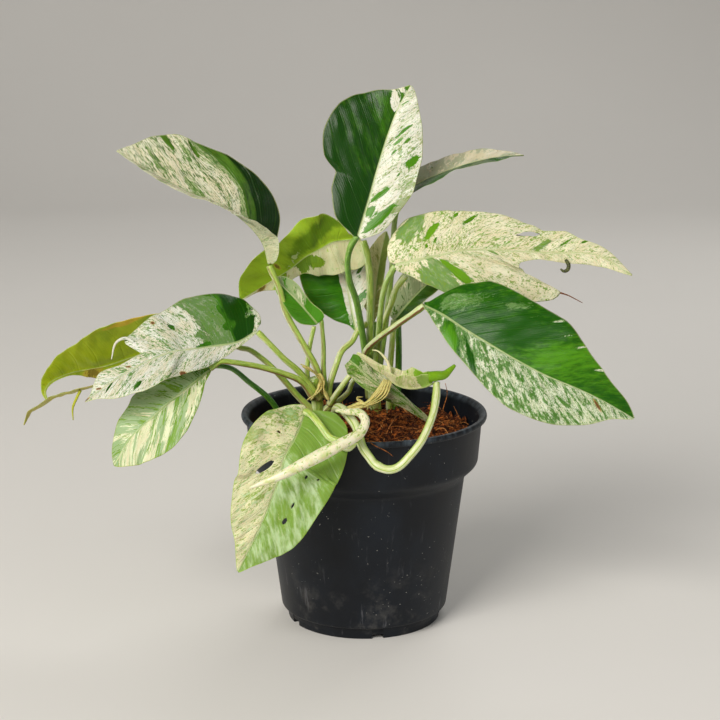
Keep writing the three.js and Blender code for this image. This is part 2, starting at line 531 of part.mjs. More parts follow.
// Rows of a blade: even steps and the keys of both edges, none closer than a hundredth
function rowsOf(leaf, even) {
  const rows = [];
  for (let i = 0; i <= even; i += 1) rows.push(i / even);
  [...leaf.left, ...leaf.right].forEach(([t]) => {
    if (rows.every((r) => Math.abs(r - t) > 0.025)) rows.push(t);
  });
  return rows.sort((a, b) => a - b);
}

function bladeGeometry(leaf) {
  const rib = curveThrough(leaf.rib);
  const rows = rowsOf(leaf, 10);
  const columns = 2 * CELLS_PER_HALF;
  const rings = rows.map((t) => {
    const top = [];
    const bottom = [];
    for (let j = 0; j <= columns; j += 1) {
      const u = j / CELLS_PER_HALF - 1;
      const e = 2e-3;
      const p = bladePoint(leaf, rib, t, u);
      const along = bladePoint(leaf, rib, Math.min(t + e, 1), u).sub(bladePoint(leaf, rib, Math.max(t - e, 0), u));
      const across = bladePoint(leaf, rib, t, Math.min(u + 0.05, 1))
        .sub(bladePoint(leaf, rib, t, Math.max(u - 0.05, -1)));
      const normal = along.cross(across).normalize().negate();
      const half = BLADE_HALF + (j === CELLS_PER_HALF ? RIB_HALF * (1 - t) : 0);
      top.push(p.clone().addScaledVector(normal, half));
      bottom.push(p.clone().addScaledVector(normal, -half));
    }
    return [...top, ...bottom.reverse()];
  });
  return bladeSkin(rings, columns + 1);
}

// Closed skin of a thin blade: its end rings are closed cell by cell, as the two faces are
function bladeSkin(rings, width) {
  const positions = [];
  const indices = [];
  const n = 2 * width;
  rings.flat().forEach((p) => positions.push(p.x, p.y, p.z));
  const quad = (a, b, c, d) => indices.push(a, b, c, a, c, d);
  for (let i = 0; i < rings.length - 1; i += 1) {
    const [a, b] = [i * n, (i + 1) * n];
    for (let j = 0; j < width - 1; j += 1) {
      quad(a + j, a + j + 1, b + j + 1, b + j);
      const [k, l] = [n - 1 - j, n - 2 - j];
      indices.push(a + k, b + l, a + l, a + k, b + k, b + l);
    }
    quad(a + width - 1, a + width, b + width, b + width - 1);
    quad(a + n - 1, a, b, b + n - 1);
  }
  const last = (rings.length - 1) * n;
  for (let j = 0; j < width - 1; j += 1) {
    const [k, l] = [n - 1 - j, n - 2 - j];
    quad(j, k, l, j + 1);
    quad(last + j, last + j + 1, last + l, last + k);
  }
  return geometryOf(positions, indices);
}

// Slit or hole through a blade: a flat oval prism, turned by some degrees from the side veins towards
// the leaf's tip
function slitSolid(leaf) {
  const rib = curveThrough(leaf.rib);
  const { t, u, length, width, turn } = leaf.slit;
  const centre = bladePoint(leaf, rib, t, u);
  const across = bladePoint(leaf, rib, t, u + 0.1).sub(bladePoint(leaf, rib, t, u - 0.1)).normalize();
  const along = bladePoint(leaf, rib, t + 0.02, u).sub(bladePoint(leaf, rib, t - 0.02, u));
  const normal = new THREE.Vector3().crossVectors(across, along).normalize();
  const short = new THREE.Vector3().crossVectors(normal, across);
  const c = Math.cos(THREE.MathUtils.degToRad(turn));
  const s = Math.sin(THREE.MathUtils.degToRad(turn));
  const ring = (lift) => Array.from({ length: 10 }, (_, i) => {
    const angle = (2 * Math.PI * i) / 10;
    const x = (length / 2) * Math.cos(angle);
    const y = (width / 2) * Math.sin(angle);
    return centre.clone()
      .addScaledVector(across, x * c - y * s)
      .addScaledVector(short, x * s + y * c)
      .addScaledVector(normal, lift);
  });
  return solidOf(skin([ring(-4), ring(4)]));
}

function leafSolid(leaf) {
  let solid = solidOf(bladeGeometry(leaf));
  if (leaf.slit) solid = solid.subtract(slitSolid(leaf));
  (leaf.spurs ?? []).forEach(({ path, radius }) => {
    solid = solid.add(solidOf(stalkGeometry(path, [radius, radius, radius * 0.4], 5)));
  });
  return solid;
}

function latheSolid(profile, sides) {
  return solidOf(new THREE.LatheGeometry(profile.map(([r, z]) => new THREE.Vector2(r, z)), sides)
    .rotateX(Math.PI / 2));
}

function potSolid() {
  const outside = [
    [0, 0], [FOOT_RADIUS, 0], [FOOT_RADIUS + 0.5, BODY_FOOT_Z - 0.8], [BODY_FOOT_RADIUS, BODY_FOOT_Z],
    [BODY_TOP_RADIUS, BODY_TOP_Z], [COLLAR_RADIUS - 1.8, COLLAR_FOOT_Z], [COLLAR_RADIUS, POT_HEIGHT - 3],
    [RIM_RADIUS - 0.4, POT_HEIGHT - 2.8], [RIM_RADIUS, POT_HEIGHT - 1.5], [RIM_RADIUS - 0.6, POT_HEIGHT],
    [COLLAR_RADIUS + 0.2, POT_HEIGHT],
  ];
  const inside = [
    [COLLAR_RADIUS - WALL, POT_HEIGHT - 2], [COLLAR_RADIUS - 1.8 - WALL, COLLAR_FOOT_Z + 0.5],
    [BODY_TOP_RADIUS - WALL, BODY_TOP_Z + 0.5], [BODY_FOOT_RADIUS - WALL, BODY_FOOT_Z + 2],
    [FOOT_RADIUS, FLOOR], [0, FLOOR],
  ];
  let pot = latheSolid([...outside, ...inside], POT_SIDES);
  for (let i = 0; i < NOTCH_COUNT; i += 1) {
    const notch = new THREE.BoxGeometry(9, NOTCH_WIDTH, 2 * NOTCH_HEIGHT);
    notch.translate(FOOT_RADIUS, 0, 0);
    notch.rotateZ(toRadians(NOTCH_FIRST_DEGREES + (360 / NOTCH_COUNT) * i));
    pot = pot.subtract(solidOf(notch));
  }
  return pot;
}

// Height of the coir: a low mound with lumps on waves of several lengths
function soilHeight(x, y) {
  const mound = 1.5 * Math.cos((Math.PI * Math.hypot(x, y)) / 110);
  const lumps = Math.sin(0.19 * x + 1.3) * Math.cos(0.23 * y - 0.6) + 0.6 * Math.sin(0.41 * x - 0.33 * y)
    + 0.4 * Math.cos(0.57 * x + 0.49 * y + 2);
  return SOIL_Z + mound + SOIL_BUMP * lumps;
}

function soilSolid() {
  const clear = 0.4;
  const innerAt = (z) => {
    const [low, high] = [COLLAR_FOOT_Z + 0.5, POT_HEIGHT - 2];
    return COLLAR_RADIUS - 1.8 - WALL + (1.8 * (z - low)) / (high - low) - clear;
  };
  const ringAt = (radius, height) => Array.from({ length: SOIL_SIDES }, (_, j) => {
    const angle = (2 * Math.PI * j) / SOIL_SIDES;
    const [x, y] = [radius * Math.cos(angle), radius * Math.sin(angle)];
    return new THREE.Vector3(x, y, height === undefined ? soilHeight(x, y) : height);
  });
  const rings = [
    ringAt(FOOT_RADIUS - 1, FLOOR + clear),
    ringAt(BODY_FOOT_RADIUS - WALL - clear, BODY_FOOT_Z + 2.6),
    ringAt(BODY_TOP_RADIUS - WALL - clear, BODY_TOP_Z + 1),
    ringAt(COLLAR_RADIUS - 1.8 - WALL - clear - 0.3, COLLAR_FOOT_Z + 1),
    ringAt(innerAt(86), 86),
    ...[53.5, 48, 41, 34, 27, 20, 13, 6, 1].map((radius) => ringAt(radius)),
  ];
  return solidOf(skin(rings));
}

const group = new THREE.Group();
group.name = 'potted_marble_dragon_tail';

function addPiece(name, solid, colour, roughness) {
  const material = new THREE.MeshStandardMaterial({ color: colour, roughness, metalness: 0 });
  const mesh = new THREE.Mesh(geometryFrom(solid), material);
  mesh.name = name;
  group.add(mesh);
}

const stalkSolids = Object.values(STALKS).map((s) => stalksSolid(s));
const stalkRoom = Object.values(STALKS).map((s) => stalksSolid(s, GAP)).reduce((a, b) => a.add(b));
const spear = solidOf(stalkGeometry(SPEAR_PATH, SPEAR_RADII, 10)).subtract(stalkRoom);

addPiece('pot', potSolid(), '#2b2c30', 0.55);
const fibres = joined(FIBRES.map((path) => stalkGeometry(path, [FIBRE_RADIUS, FIBRE_RADIUS * 0.8], 4)));
const youngLeafHole = solidOf(stalkGeometry(YOUNG_LEAF_HOLE.path, YOUNG_LEAF_HOLE.r, 8));
addPiece('coir', soilSolid().subtract(stalkRoom).subtract(youngLeafHole).add(fibres), '#7a3a1a', 0.95);
Object.entries(STALKS).forEach(([name, s], i) => addPiece(name, stalkSolids[i], s.colour, 0.5));
Object.entries(SHEATHS).forEach(([name, s]) => {
  addPiece(name, stalksSolid(s).subtract(stalkRoom), s.colour, 0.7);
});
addPiece('leaf_rolled', spear, '#d9dfae', 0.45);
Object.entries(LEAVES).forEach(([name, leaf]) => {
  addPiece(name, leafSolid(leaf).subtract(stalkRoom), leaf.colour, 0.45);
});

export default group;
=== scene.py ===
"""Marble dragon tail plant in a nursery pot: its finished surfaces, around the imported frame.

Tables are in millimetres, in the frame's own axes: +Z up, the pot's axis on Z, seen from -Y.
"""
import math

import bpy
import numpy as np
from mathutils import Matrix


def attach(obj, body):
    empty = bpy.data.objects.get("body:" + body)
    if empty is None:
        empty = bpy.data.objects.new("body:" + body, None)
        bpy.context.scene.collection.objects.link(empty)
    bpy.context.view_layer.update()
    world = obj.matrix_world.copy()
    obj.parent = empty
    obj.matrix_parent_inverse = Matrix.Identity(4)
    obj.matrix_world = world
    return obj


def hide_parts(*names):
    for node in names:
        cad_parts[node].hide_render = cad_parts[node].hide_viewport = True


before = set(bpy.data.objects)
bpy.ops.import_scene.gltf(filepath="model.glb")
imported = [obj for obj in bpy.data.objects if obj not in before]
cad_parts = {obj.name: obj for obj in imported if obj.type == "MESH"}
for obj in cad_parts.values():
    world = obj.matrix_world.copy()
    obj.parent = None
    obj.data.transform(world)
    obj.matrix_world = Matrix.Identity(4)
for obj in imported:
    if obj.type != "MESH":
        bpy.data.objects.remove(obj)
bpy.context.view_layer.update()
MM = 0.001

# Pot
POT_HEIGHT = 104.0
RIM_RADIUS = 60.0
COLLAR_RADIUS = 57.5
COLLAR_FOOT_RADIUS = 55.7
COLLAR_FOOT_Z = 79.5
BODY_TOP_Z = 73.5
BODY_TOP_RADIUS = 49.5
BODY_FOOT_Z = 6.2
BODY_FOOT_RADIUS = 40.8
FOOT_RADIUS = 37.6
WALL = 1.5
FLOOR = 2.0
NOTCH_COUNT = 5
NOTCH_WIDTH = 5.5
NOTCH_HEIGHT = 5.0
NOTCH_DEPTH = 4.5
NOTCH_FIRST_DEGREES = -80.0
NOTCH_EDGE = 0.15
FOOT_ONLY = 40.0
POT_SIDES = 216
POT_STEP = 1.6
DUSTY_UP_TO = 46.0
LIP_FROM = 100.6
LIP_TO = 103.4

# Coir
SOIL_Z = 92.0
SOIL_BUMP = 1.6
SOIL_RADIUS = 53.8

COIR_SIDES = [[0, 2.4], [36.6, 2.4], [38.9, 8.8], [47.6, 74.5], [53.5, 80.5], [SOIL_RADIUS, SOIL_Z - 4]]
COIR_RINGS = 88
COIR_ROUND = 300
FIBRE_SEED = 21
FIBRE_COUNT = 3400
FIBRE_LENGTHS = (2.5, 11)
FIBRE_RADII = (0.07, 0.2)
FIBRE_BENDS = (-2.5, 2.5)
STANDING_SHARE = 0.12

# Leaf blades: their half thickness, their grid, and the relief of rib, veins and swells
BLADE_HALF = 0.22
ROW_SPACING = 0.62
FEWEST_ROWS = 56
MOST_ROWS = 150
HALF_COLUMNS = 33
RIB_RIDGE = 0.5
RIB_RIDGE_SPREAD = 0.9
RIB_GROOVE = 0.16
RIB_GROOVE_SPREAD = 0.7
VEIN_SPACING = 9.0
VEIN_RELIEF = 0.2
SWELL_HEIGHT = 0.42
PAINT_ASTRAY = 1.3
LONG_HOLE = 5.0
HOLE_LIP = 0.35

# A leaf is written from its base to its tip, with t running from 0 to 1:
# rib     points of the midrib
# face    [t, x, y, z]        direction that the upper face looks in
# left    [t, mm]             half width to the left of the rib, seen on the upper face
# right   [t, mm]             half width to the right of it
# sweep   [t, left, right]    angle of the side veins forward of square, in degrees
# fold    [t, left, right]    rise of each half from the rib, in degrees
# curl    [t, left, right]    further rise from the rib out to the edge, in degrees
# wave    [mm, count, phase]  ripple of the edge
# holes   [t, u, length, width, turn]  openings through the blade, the length along the side veins
# spurs   thin spikes of the edge: points, radius, and what their paint leans to (green, grey, tone)
# Plain values in round brackets, in place of keys, hold for the whole leaf.
USUAL_LEAF = {"fold": (0, 0), "curl": (0, 0), "wave": [0, 1, 0], "holes": [], "spurs": []}
LEAVES = {
    "leaf_top": {
        "rib": [[-3, 0, 190], [2, 4, 206], [6, 8, 220], [11, 11, 236], [16, 13, 249], [22, 12, 260]],
        "face": (0, -0.95, 0.3),
        "left": [[0, 2], [0.03, 5], [0.1, 14], [0.2, 19], [0.28, 19], [0.34, 27], [0.45, 31], [0.6, 28],
                 [0.7, 23], [0.8, 15], [0.9, 6], [1, 0.5]],
        "right": [[0, 2], [0.03, 5], [0.1, 12], [0.2, 17], [0.3, 20], [0.45, 20], [0.6, 17], [0.75, 12],
                  [0.9, 6], [1, 0.5]],
        "sweep": [[0, -35, -35], [0.15, 5, 5], [0.5, 18, 15], [1, 5, 40]],
        "fold": [[0, 20, 20], [1, 12, 12]],
        "curl": [[0, -25, -25], [1, -30, -30]],
        "wave": [0.8, 2.3, 0.1],
    },
    "leaf_upper_right": {
        "rib": [[18, 24, 206], [27, 24, 212], [38, 24, 217], [52, 23, 222], [66, 22, 225], [77, 20, 226]],
        "face": [[0, -0.1, -0.15, 0.98], [1, 0.1, -0.15, 0.98]],
        "left": [[0, 4], [0.1, 11], [0.3, 16], [0.5, 15], [0.8, 8], [1, 0.5]],
        "right": [[0, 4], [0.1, 11], [0.3, 15], [0.5, 14], [0.8, 7], [1, 0.5]],
        "sweep": [[0, -30, -30], [0.2, 10, 10], [1, 40, 40]],
        "fold": [[0, 16, 12], [1, 8, 8]],
        "curl": (-5, -5),
        "wave": [0.4, 2, 0],
    },
    "leaf_upper_left": {
        "rib": [[-46, 8, 175], [-48, 6, 184], [-52, 4, 191], [-60, 2, 199], [-69, 0, 205], [-85, -4, 212],
                [-102, -6, 222], [-116, -6, 231]],
        "face": [[0, 0.1, -0.75, 0.6], [0.4, 0.1, -0.75, 0.6], [1, 0.1, -0.7, 0.7]],
        "left": [[0, 4], [0.06, 12], [0.2, 17], [0.3, 19], [0.5, 17], [0.8, 10], [1, 0.5]],
        "right": [[0, 1], [0.1, 4], [0.2, 8], [0.3, 15], [0.4, 20], [0.5, 23], [0.65, 27], [0.75, 26],
                  [0.85, 19], [0.95, 7], [1, 0.5]],
        "sweep": [[0, -60, -60], [0.2, -30, -20], [0.5, 10, 10], [1, 20, 20]],
        "fold": [[0, 115, 20], [0.35, 85, 20], [0.5, 64, 20], [1, 50, 10]],
        "curl": [[0, -20, 0], [1, -10, -20]],
        "wave": [0.5, 2, 0.3],
    },
    "leaf_back_centre": {
        "rib": [[-2, 22, 185], [-14, 22, 184], [-21, 22, 180.5], [-29, 22, 176], [-36.5, 22, 170],
                [-44.5, 21, 165], [-60.5, 18, 155.5]],
        "face": [[0, 0, 0.9, 0.4], [1, -0.2, 0.9, 0.4]],
        "left": [[0, 1], [0.1, 5], [0.2, 14], [0.28, 20], [0.4, 23], [0.55, 19], [0.7, 19], [0.85, 21],
                 [0.93, 16], [1, 1]],
        "right": [[0, 4], [0.06, 15], [0.15, 18], [0.3, 16], [0.45, 13], [0.6, 6], [0.8, 6], [0.93, 2],
                  [1, 0.5]],
        "sweep": [[0, -45, -30], [0.3, -22, 5], [1, 10, 20]],
        "fold": (-10, -10),
        "curl": [[0, 0, 0], [1, -10, -10]],
        "wave": [1, 4, 0.2],
    },
    "leaf_centre": {
        "rib": [[-4, 26, 138], [-6, 29, 147], [-8, 32, 157], [-10, 33, 166],
                [-12, 33, 176], [-13, 32, 184]],
        "face": [[0, 0, -1, 0.1], [1, 0, -1, 0.3]],
        "left": [[0, 0.5], [0.08, 3], [0.16, 10], [0.25, 17], [0.4, 22], [0.6, 23], [0.8, 16], [1, 0.5]],
        "right": [[0, 0.5], [0.1, 2], [0.2, 6], [0.3, 10], [0.5, 12], [0.7, 11], [0.9, 5], [1, 0.5]],
        "sweep": [[0, -20, -20], [0.2, 5, 5], [1, 30, 30]],
        "fold": [[0, 10, 10], [1, 10, 20]],
        "curl": (-10, -10),
        "wave": [0.4, 2, 0.5],
    },
    "leaf_centre_left": {
        "rib": [[-23, 14, 144], [-28, 14, 150], [-34, 13, 157], [-39, 13, 162], [-44, 14, 167]],
        "face": (0.1, -0.85, 0.4),
        "left": [[0, 0.5], [0.08, 4], [0.2, 8], [0.35, 9], [0.6, 6.5], [0.8, 4], [1, 0.5]],
        "right": [[0, 0.5], [0.03, 5], [0.1, 6], [0.3, 5], [0.6, 6.5], [0.8, 5], [1, 0.5]],
        "sweep": [[0, -10, -10], [0.2, 10, 10], [1, 30, 30]],
        "fold": (20, 25),
    },
    "leaf_back_upright": {
        "rib": [[5, 41, 140], [6, 41, 155], [8, 40, 171], [11, 38, 186]],
        "face": [[0, 0.2, 0.95, 0.1], [1, 0.1, 0.95, 0.2]],
        "left": [[0, 0.5], [0.1, 2.5], [0.3, 4], [0.6, 4.5], [0.85, 4], [1, 0.5]],
        "right": [[0, 0.5], [0.1, 4], [0.3, 9], [0.6, 9], [0.85, 5], [1, 0.5]],
        "sweep": [[0, -10, -10], [0.2, 10, 10], [1, 35, 35]],
        "fold": [[0, -25, -25], [1, -20, -20]],
        "curl": [[0, -20, -20], [1, -10, -10]],
        "wave": [0.4, 2, 0.2],
    },
    "leaf_right": {
        "rib": [[15, -5, 177], [29, -3, 179.5], [41.5, 0, 181.5], [54, 3, 182.5], [77, 7, 181],
                [92.5, 9, 180], [112, 10, 179], [129.5, 8, 169.5]],
        "face": [[0, 0, -0.93, 0.37], [1, 0.1, -0.9, 0.4]],
        "left": [[0, 2.6], [0.03, 7.8], [0.06, 13], [0.1, 18.3], [0.15, 22.6], [0.25, 22.7], [0.35, 21],
                 [0.45, 20.5], [0.55, 16.2], [0.62, 12.7], [0.7, 12.7], [0.8, 7.3], [0.9, 4.6], [1, 0.5]],
        "right": [[0, 2], [0.06, 7], [0.1, 15], [0.15, 25], [0.2, 35.5], [0.25, 45], [0.3, 58], [0.33, 50],
                  [0.36, 40], [0.4, 31.5], [0.44, 23.5], [0.48, 15.5], [0.53, 8], [0.6, 5.6], [0.7, 6.6],
                  [0.8, 8.4], [0.9, 4.7], [1, 0.5]],
        "sweep": [[0, -60, -30], [0.1, -20, 21], [0.15, -5, 28], [0.2, 0, 36], [0.25, 5, 49], [0.3, 10, 62],
                  [0.36, 14, 63], [0.44, 19, 69], [0.53, 25, 53], [1, 30, 40]],
        "curl": [[0, -20, -20], [1, -10, -10]],
        "wave": [0.6, 2.5, 0.4],
        "holes": [[0.565, -0.67, 12.5, 2.2, 112]],
    },
    "leaf_lower_right": {
        "rib": [[29, -5, 157], [37.5, -16, 154.5], [46.5, -22, 149.5], [58, -28, 143.5], [70, -32, 137],
                [84.5, -36, 130], [99.5, -38, 124], [111.5, -40, 118.5], [125, -42, 111]],
        "face": (0.3, -0.93, 0.2),
        "left": [[0, 2], [0.03, 4], [0.06, 8], [0.1, 14], [0.15, 22], [0.2, 27], [0.3, 29], [0.5, 30],
                 [0.6, 25], [0.7, 18], [0.8, 12], [0.9, 8], [1, 0.5]],
        "right": [[0, 1], [0.06, 3], [0.1, 5], [0.2, 10], [0.3, 15], [0.4, 21], [0.5, 25], [0.6, 24],
                  [0.7, 20], [0.8, 14], [0.9, 7], [1, 0.5]],
        "sweep": [[0, -50, -30], [0.15, 0, 10], [0.5, 20, 30], [1, 45, 45]],
        "fold": [[0, 10, 10], [1, 5, 5]],
        "curl": [[0, -20, -10], [1, -10, -10]],
        "wave": [0.5, 2, 0.1],
    },
    "leaf_back_right": {
        "rib": [[15, 24, 144], [22, 26, 152], [29, 28, 159], [37, 30, 166], [44, 32, 171]],
        "face": (-0.1, -0.9, 0.4),
        "left": [[0, 0.5], [0.08, 6], [0.25, 11], [0.5, 13], [0.75, 9], [1, 0.5]],
        "right": [[0, 0.5], [0.1, 4], [0.3, 6], [0.6, 7], [0.8, 6], [1, 0.5]],
        "sweep": [[0, -30, -20], [0.2, 5, 5], [1, 35, 35]],
        "fold": [[0, 15, 20], [1, 10, 15]],
    },
    "leaf_left": {
        "rib": [[-52, 0, 143.5], [-61, -5, 139], [-73, -10, 138], [-84, -15, 137.5], [-92, -19, 137],
                [-106, -24, 132], [-120, -28, 124], [-131, -30, 116]],
        "face": [[0, -0.1, -0.75, 0.65], [1, -0.25, -0.7, 0.6]],
        "left": [[0, 1], [0.1, 2], [0.15, 3], [0.2, 6], [0.3, 12], [0.4, 15], [0.5, 19], [0.6, 20],
                 [0.7, 17], [0.8, 12], [0.9, 5], [1, 0.5]],
        "right": [[0, 5], [0.03, 12], [0.06, 17], [0.1, 24], [0.15, 28], [0.22, 30], [0.3, 29], [0.4, 25],
                  [0.5, 22], [0.6, 21], [0.63, 18], [0.65, 7], [0.74, 7], [0.8, 10], [0.86, 7], [0.95, 2],
                  [1, 0.5]],
        "sweep": [[0, -30, -60], [0.15, 10, -20], [0.3, 25, 5], [0.6, 40, 38], [1, 45, 50]],
        "fold": (10, 10),
        "curl": [[0, -30, -20], [1, -10, -10]],
        "wave": [0.5, 2, 0.2],
        "spurs": [{
            "path": [[-109, -16.5, 141.5], [-113.5, -16.5, 143.5], [-118, -17.5, 141], [-120, -18, 133.5]],
            "radius": 0.8, "paint": [-1, -0.5, 1],
        }],
    },
    "leaf_far_left": {
        "rib": [[-70, 16, 135], [-86, 20, 134], [-107, 24, 128], [-129, 23, 121], [-145, 22, 118],
                [-155, 21, 114], [-159, 20, 109], [-158, 19, 104]],
        "face": (0.1, 0.85, 0.5),
        "left": [[0, 3], [0.06, 14], [0.15, 22], [0.25, 26], [0.35, 28], [0.45, 24], [0.55, 17], [0.65, 10],
                 [0.75, 5], [0.85, 2], [1, 0.5]],
        "right": [[0, 1], [0.06, 6], [0.15, 11], [0.3, 12], [0.4, 9], [0.5, 5], [0.6, 1.5], [0.8, 1],
                  [1, 0.5]],
        "sweep": [[0, -30, -30], [0.3, 5, 5], [1, 20, 20]],
        "fold": (-10, -10),
        "wave": [0.3, 2, 0],
    },
    "leaf_low_left": {
        "rib": [[-74, -12, 127], [-83, -18, 120.5], [-93, -21, 113], [-102, -23, 105], [-111, -25, 97],
                [-119, -27, 84]],
        "face": [[0, -0.3, -0.85, 0.5], [1, -0.4, -0.85, 0.4]],
        "left": [[0, 1], [0.1, 4], [0.15, 8], [0.2, 12], [0.25, 16], [0.3, 20], [0.4, 23], [0.5, 22],
                 [0.6, 20], [0.7, 18], [0.8, 14], [0.9, 8], [1, 0.5]],
        "right": [[0, 1], [0.06, 4], [0.1, 9], [0.15, 12], [0.2, 13], [0.3, 15], [0.5, 16], [0.6, 14],
                  [0.7, 12], [0.8, 9], [0.9, 6], [1, 0.5]],
        "sweep": [[0, -20, -60], [0.15, 15, -20], [0.4, 30, 5], [1, 45, 40]],
        "fold": [[0, 10, 10], [1, 5, 5]],
        "curl": [[0, -15, -15], [1, -10, -10]],
        "wave": [0.4, 2, 0.4],
    },
    "leaf_left_edge_on": {
        "rib": [[-106, 16, 119], [-121, 15, 115], [-133, 14, 113], [-144, 14, 110], [-153, 14, 107],
                [-162, 14, 102], [-166, 14, 99], [-169, 14, 93]],
        "face": [[0, 0, 0.1, 1], [1, -0.3, 0.1, 0.95]],
        "left": [[0, 1], [0.1, 4], [0.4, 6], [0.7, 4.5], [0.9, 2], [1, 0.5]],
        "right": [[0, 1], [0.1, 4], [0.4, 6], [0.7, 4.5], [0.9, 2], [1, 0.5]],
        "sweep": [[0, 0, 0], [0.3, 20, 20], [1, 40, 40]],
        "fold": (8, -14),
        "spurs": [{"path": [[-140, 12, 111], [-142, 11, 107], [-144, 11, 102], [-144, 11, 96]],
                   "radius": 0.8, "paint": [1, 1, 0.8]}],
    },
    "leaf_front": {
        "rib": [[-27, -50, 116], [-31, -62, 108], [-36, -69, 100], [-38.5, -72, 91], [-45, -74, 74],
                [-51, -74, 60.5], [-57.5, -74, 47.5]],
        "face": [[0, 0, -0.75, 0.66], [0.3, 0, -0.95, 0.3], [1, 0, -1, 0.05]],
        "left": [[0, 2], [0.03, 4], [0.06, 9], [0.1, 18], [0.15, 23], [0.3, 27], [0.4, 26], [0.5, 24],
                 [0.6, 22], [0.7, 18], [0.8, 12], [0.9, 6], [1, 0.5]],
        "right": [[0, 3], [0.06, 9], [0.1, 12], [0.15, 15], [0.2, 18], [0.3, 20], [0.5, 20], [0.6, 18],
                  [0.7, 14], [0.8, 9], [0.9, 5], [1, 0.5]],
        "sweep": [[0, -75, -75], [0.12, -30, -30], [0.3, 5, 5], [0.6, 25, 25], [1, 40, 40]],
        "fold": [[0, 15, 15], [1, 8, 8]],
        "curl": [[0, -15, 10], [1, -10, -10]],
        "wave": [0.6, 2, 0.3],
        "holes": [[0.42, 0.39, 11, 3.4, 50], [0.225, 0.42, 2.2, 0.9, 20], [0.415, -0.47, 4, 1, 75],
                  [0.4, -0.68, 2.4, 0.8, 60], [0.55, -0.48, 2.6, 0.9, 80], [0.615, -0.48, 3, 1.7, 70]],
    },
    "leaf_marbled_young": {
        "rib": [[36, 9, 89.5], [33, 6, 96], [27, 2, 102], [19, -4, 110], [11, -8, 116], [3, -10, 122],
                [-3, -10, 128], [-7, -9, 131]],
        "face": [[0, 0.2, -0.8, 0.6], [1, -0.2, -0.9, 0.4]],
        "left": [[0, 0.9], [0.12, 1], [0.4, 3.5], [0.65, 6], [0.85, 7], [0.95, 5.5], [1, 4]],
        "right": [[0, 0.9], [0.12, 1], [0.4, 3.5], [0.65, 6], [0.85, 6.5], [0.95, 5], [1, 4]],
        "sweep": (10, 10),
        "fold": [[0, -25, -20], [1, -20, -15]],
        "curl": [[0, 0, 0], [1, -30, -20]],
        "wave": [0.7, 3, 0.2],
    },
    "leaf_curled": {
        "rib": [[31.5, -43, 128], [27.5, -42, 126], [21, -41, 125], [15, -40, 126.5], [10.5, -39, 130],
                [4.5, -38, 134], [-3.5, -36, 140.5]],
        "face": [[0, 0.2, -0.2, 1], [0.4, 0, -0.2, 1], [1, 0.5, -0.2, 0.9]],
        "left": [[0, 5.5], [0.15, 7.5], [0.33, 9.5], [0.5, 7.5], [0.67, 5], [0.83, 3.5], [1, 0.5]],
        "right": [[0, 5.5], [0.15, 7.5], [0.33, 9.5], [0.5, 7.5], [0.67, 5], [0.83, 3.5], [1, 0.5]],
        "sweep": [[0, -30, -30], [0.2, -10, -10], [0.5, 10, 10], [1, 30, 30]],
        "fold": [[0, 62, 62], [0.5, 58, 58], [1, 45, 45]],
        "curl": [[0, 20, 20], [1, 0, 0]],
        "wave": [0.5, 3, 0],
        "spurs": [
            {"path": [[29.5, -43.5, 131], [33.5, -43, 131.5], [37, -41, 131.5], [39.7, -39, 133.3],
                      [42, -37, 135]], "radius": 2.6, "paint": [1, 1, 0.1]},
            {"path": [[12, -41, 132], [11, -41, 137], [9, -40, 140], [6.3, -39, 142.3], [3.6, -38, 142.6]],
             "radius": 0.8, "paint": [-1, -0.5, 1]},
        ],
    },
}

# How a leaf is marked. Anything above 0 is taken over by the colour. The keys [t, left, right] are
# read where the side vein through a point leaves the rib, and lean is how many degrees the veins of
# each half run ahead of the blade's own sweep.
# green, grey, tone   how far each half leans to solid green, to the grey-green wash and to light green
# mottle              how strongly the grain lightens and darkens the solid green, on leaf_front in patches of painted sheen
# marks               [kind, t, u, half length along the veins, half width across them, strength] in mm
# flecks              how thickly each half is flecked
# fine, drawn         how small the grain is, and how large its scale along the veins is to that across
# lumps, pucker       how strong the swells of the blade are, and the finer ones that only the light shows
# cream, warm, wash, green_light, green_dark, fleck, rib, margin, under   the colours
# under_share         how much the underside takes on its own colour
# The colours of yellowed, dry and dead tissue, and what a leaf has where its own look says nothing
YELLOWED = "#c9a030"
DRY = "#b08a40"
DEAD = "#5f3a1c"
USUAL_LOOK = {
    "green": (0, 0), "grey": (0, 0), "tone": (0, 0), "flecks": (0, 0), "marks": [], "fine": 1.0,
    "drawn": 0.35, "lumps": 1, "pucker": 1.5, "mottle": 1, "warm": "#cbbf98", "rib": "#b9c98a",
    "margin": "#c3cf8c", "under": "#b3c488", "under_share": 0.45,
}
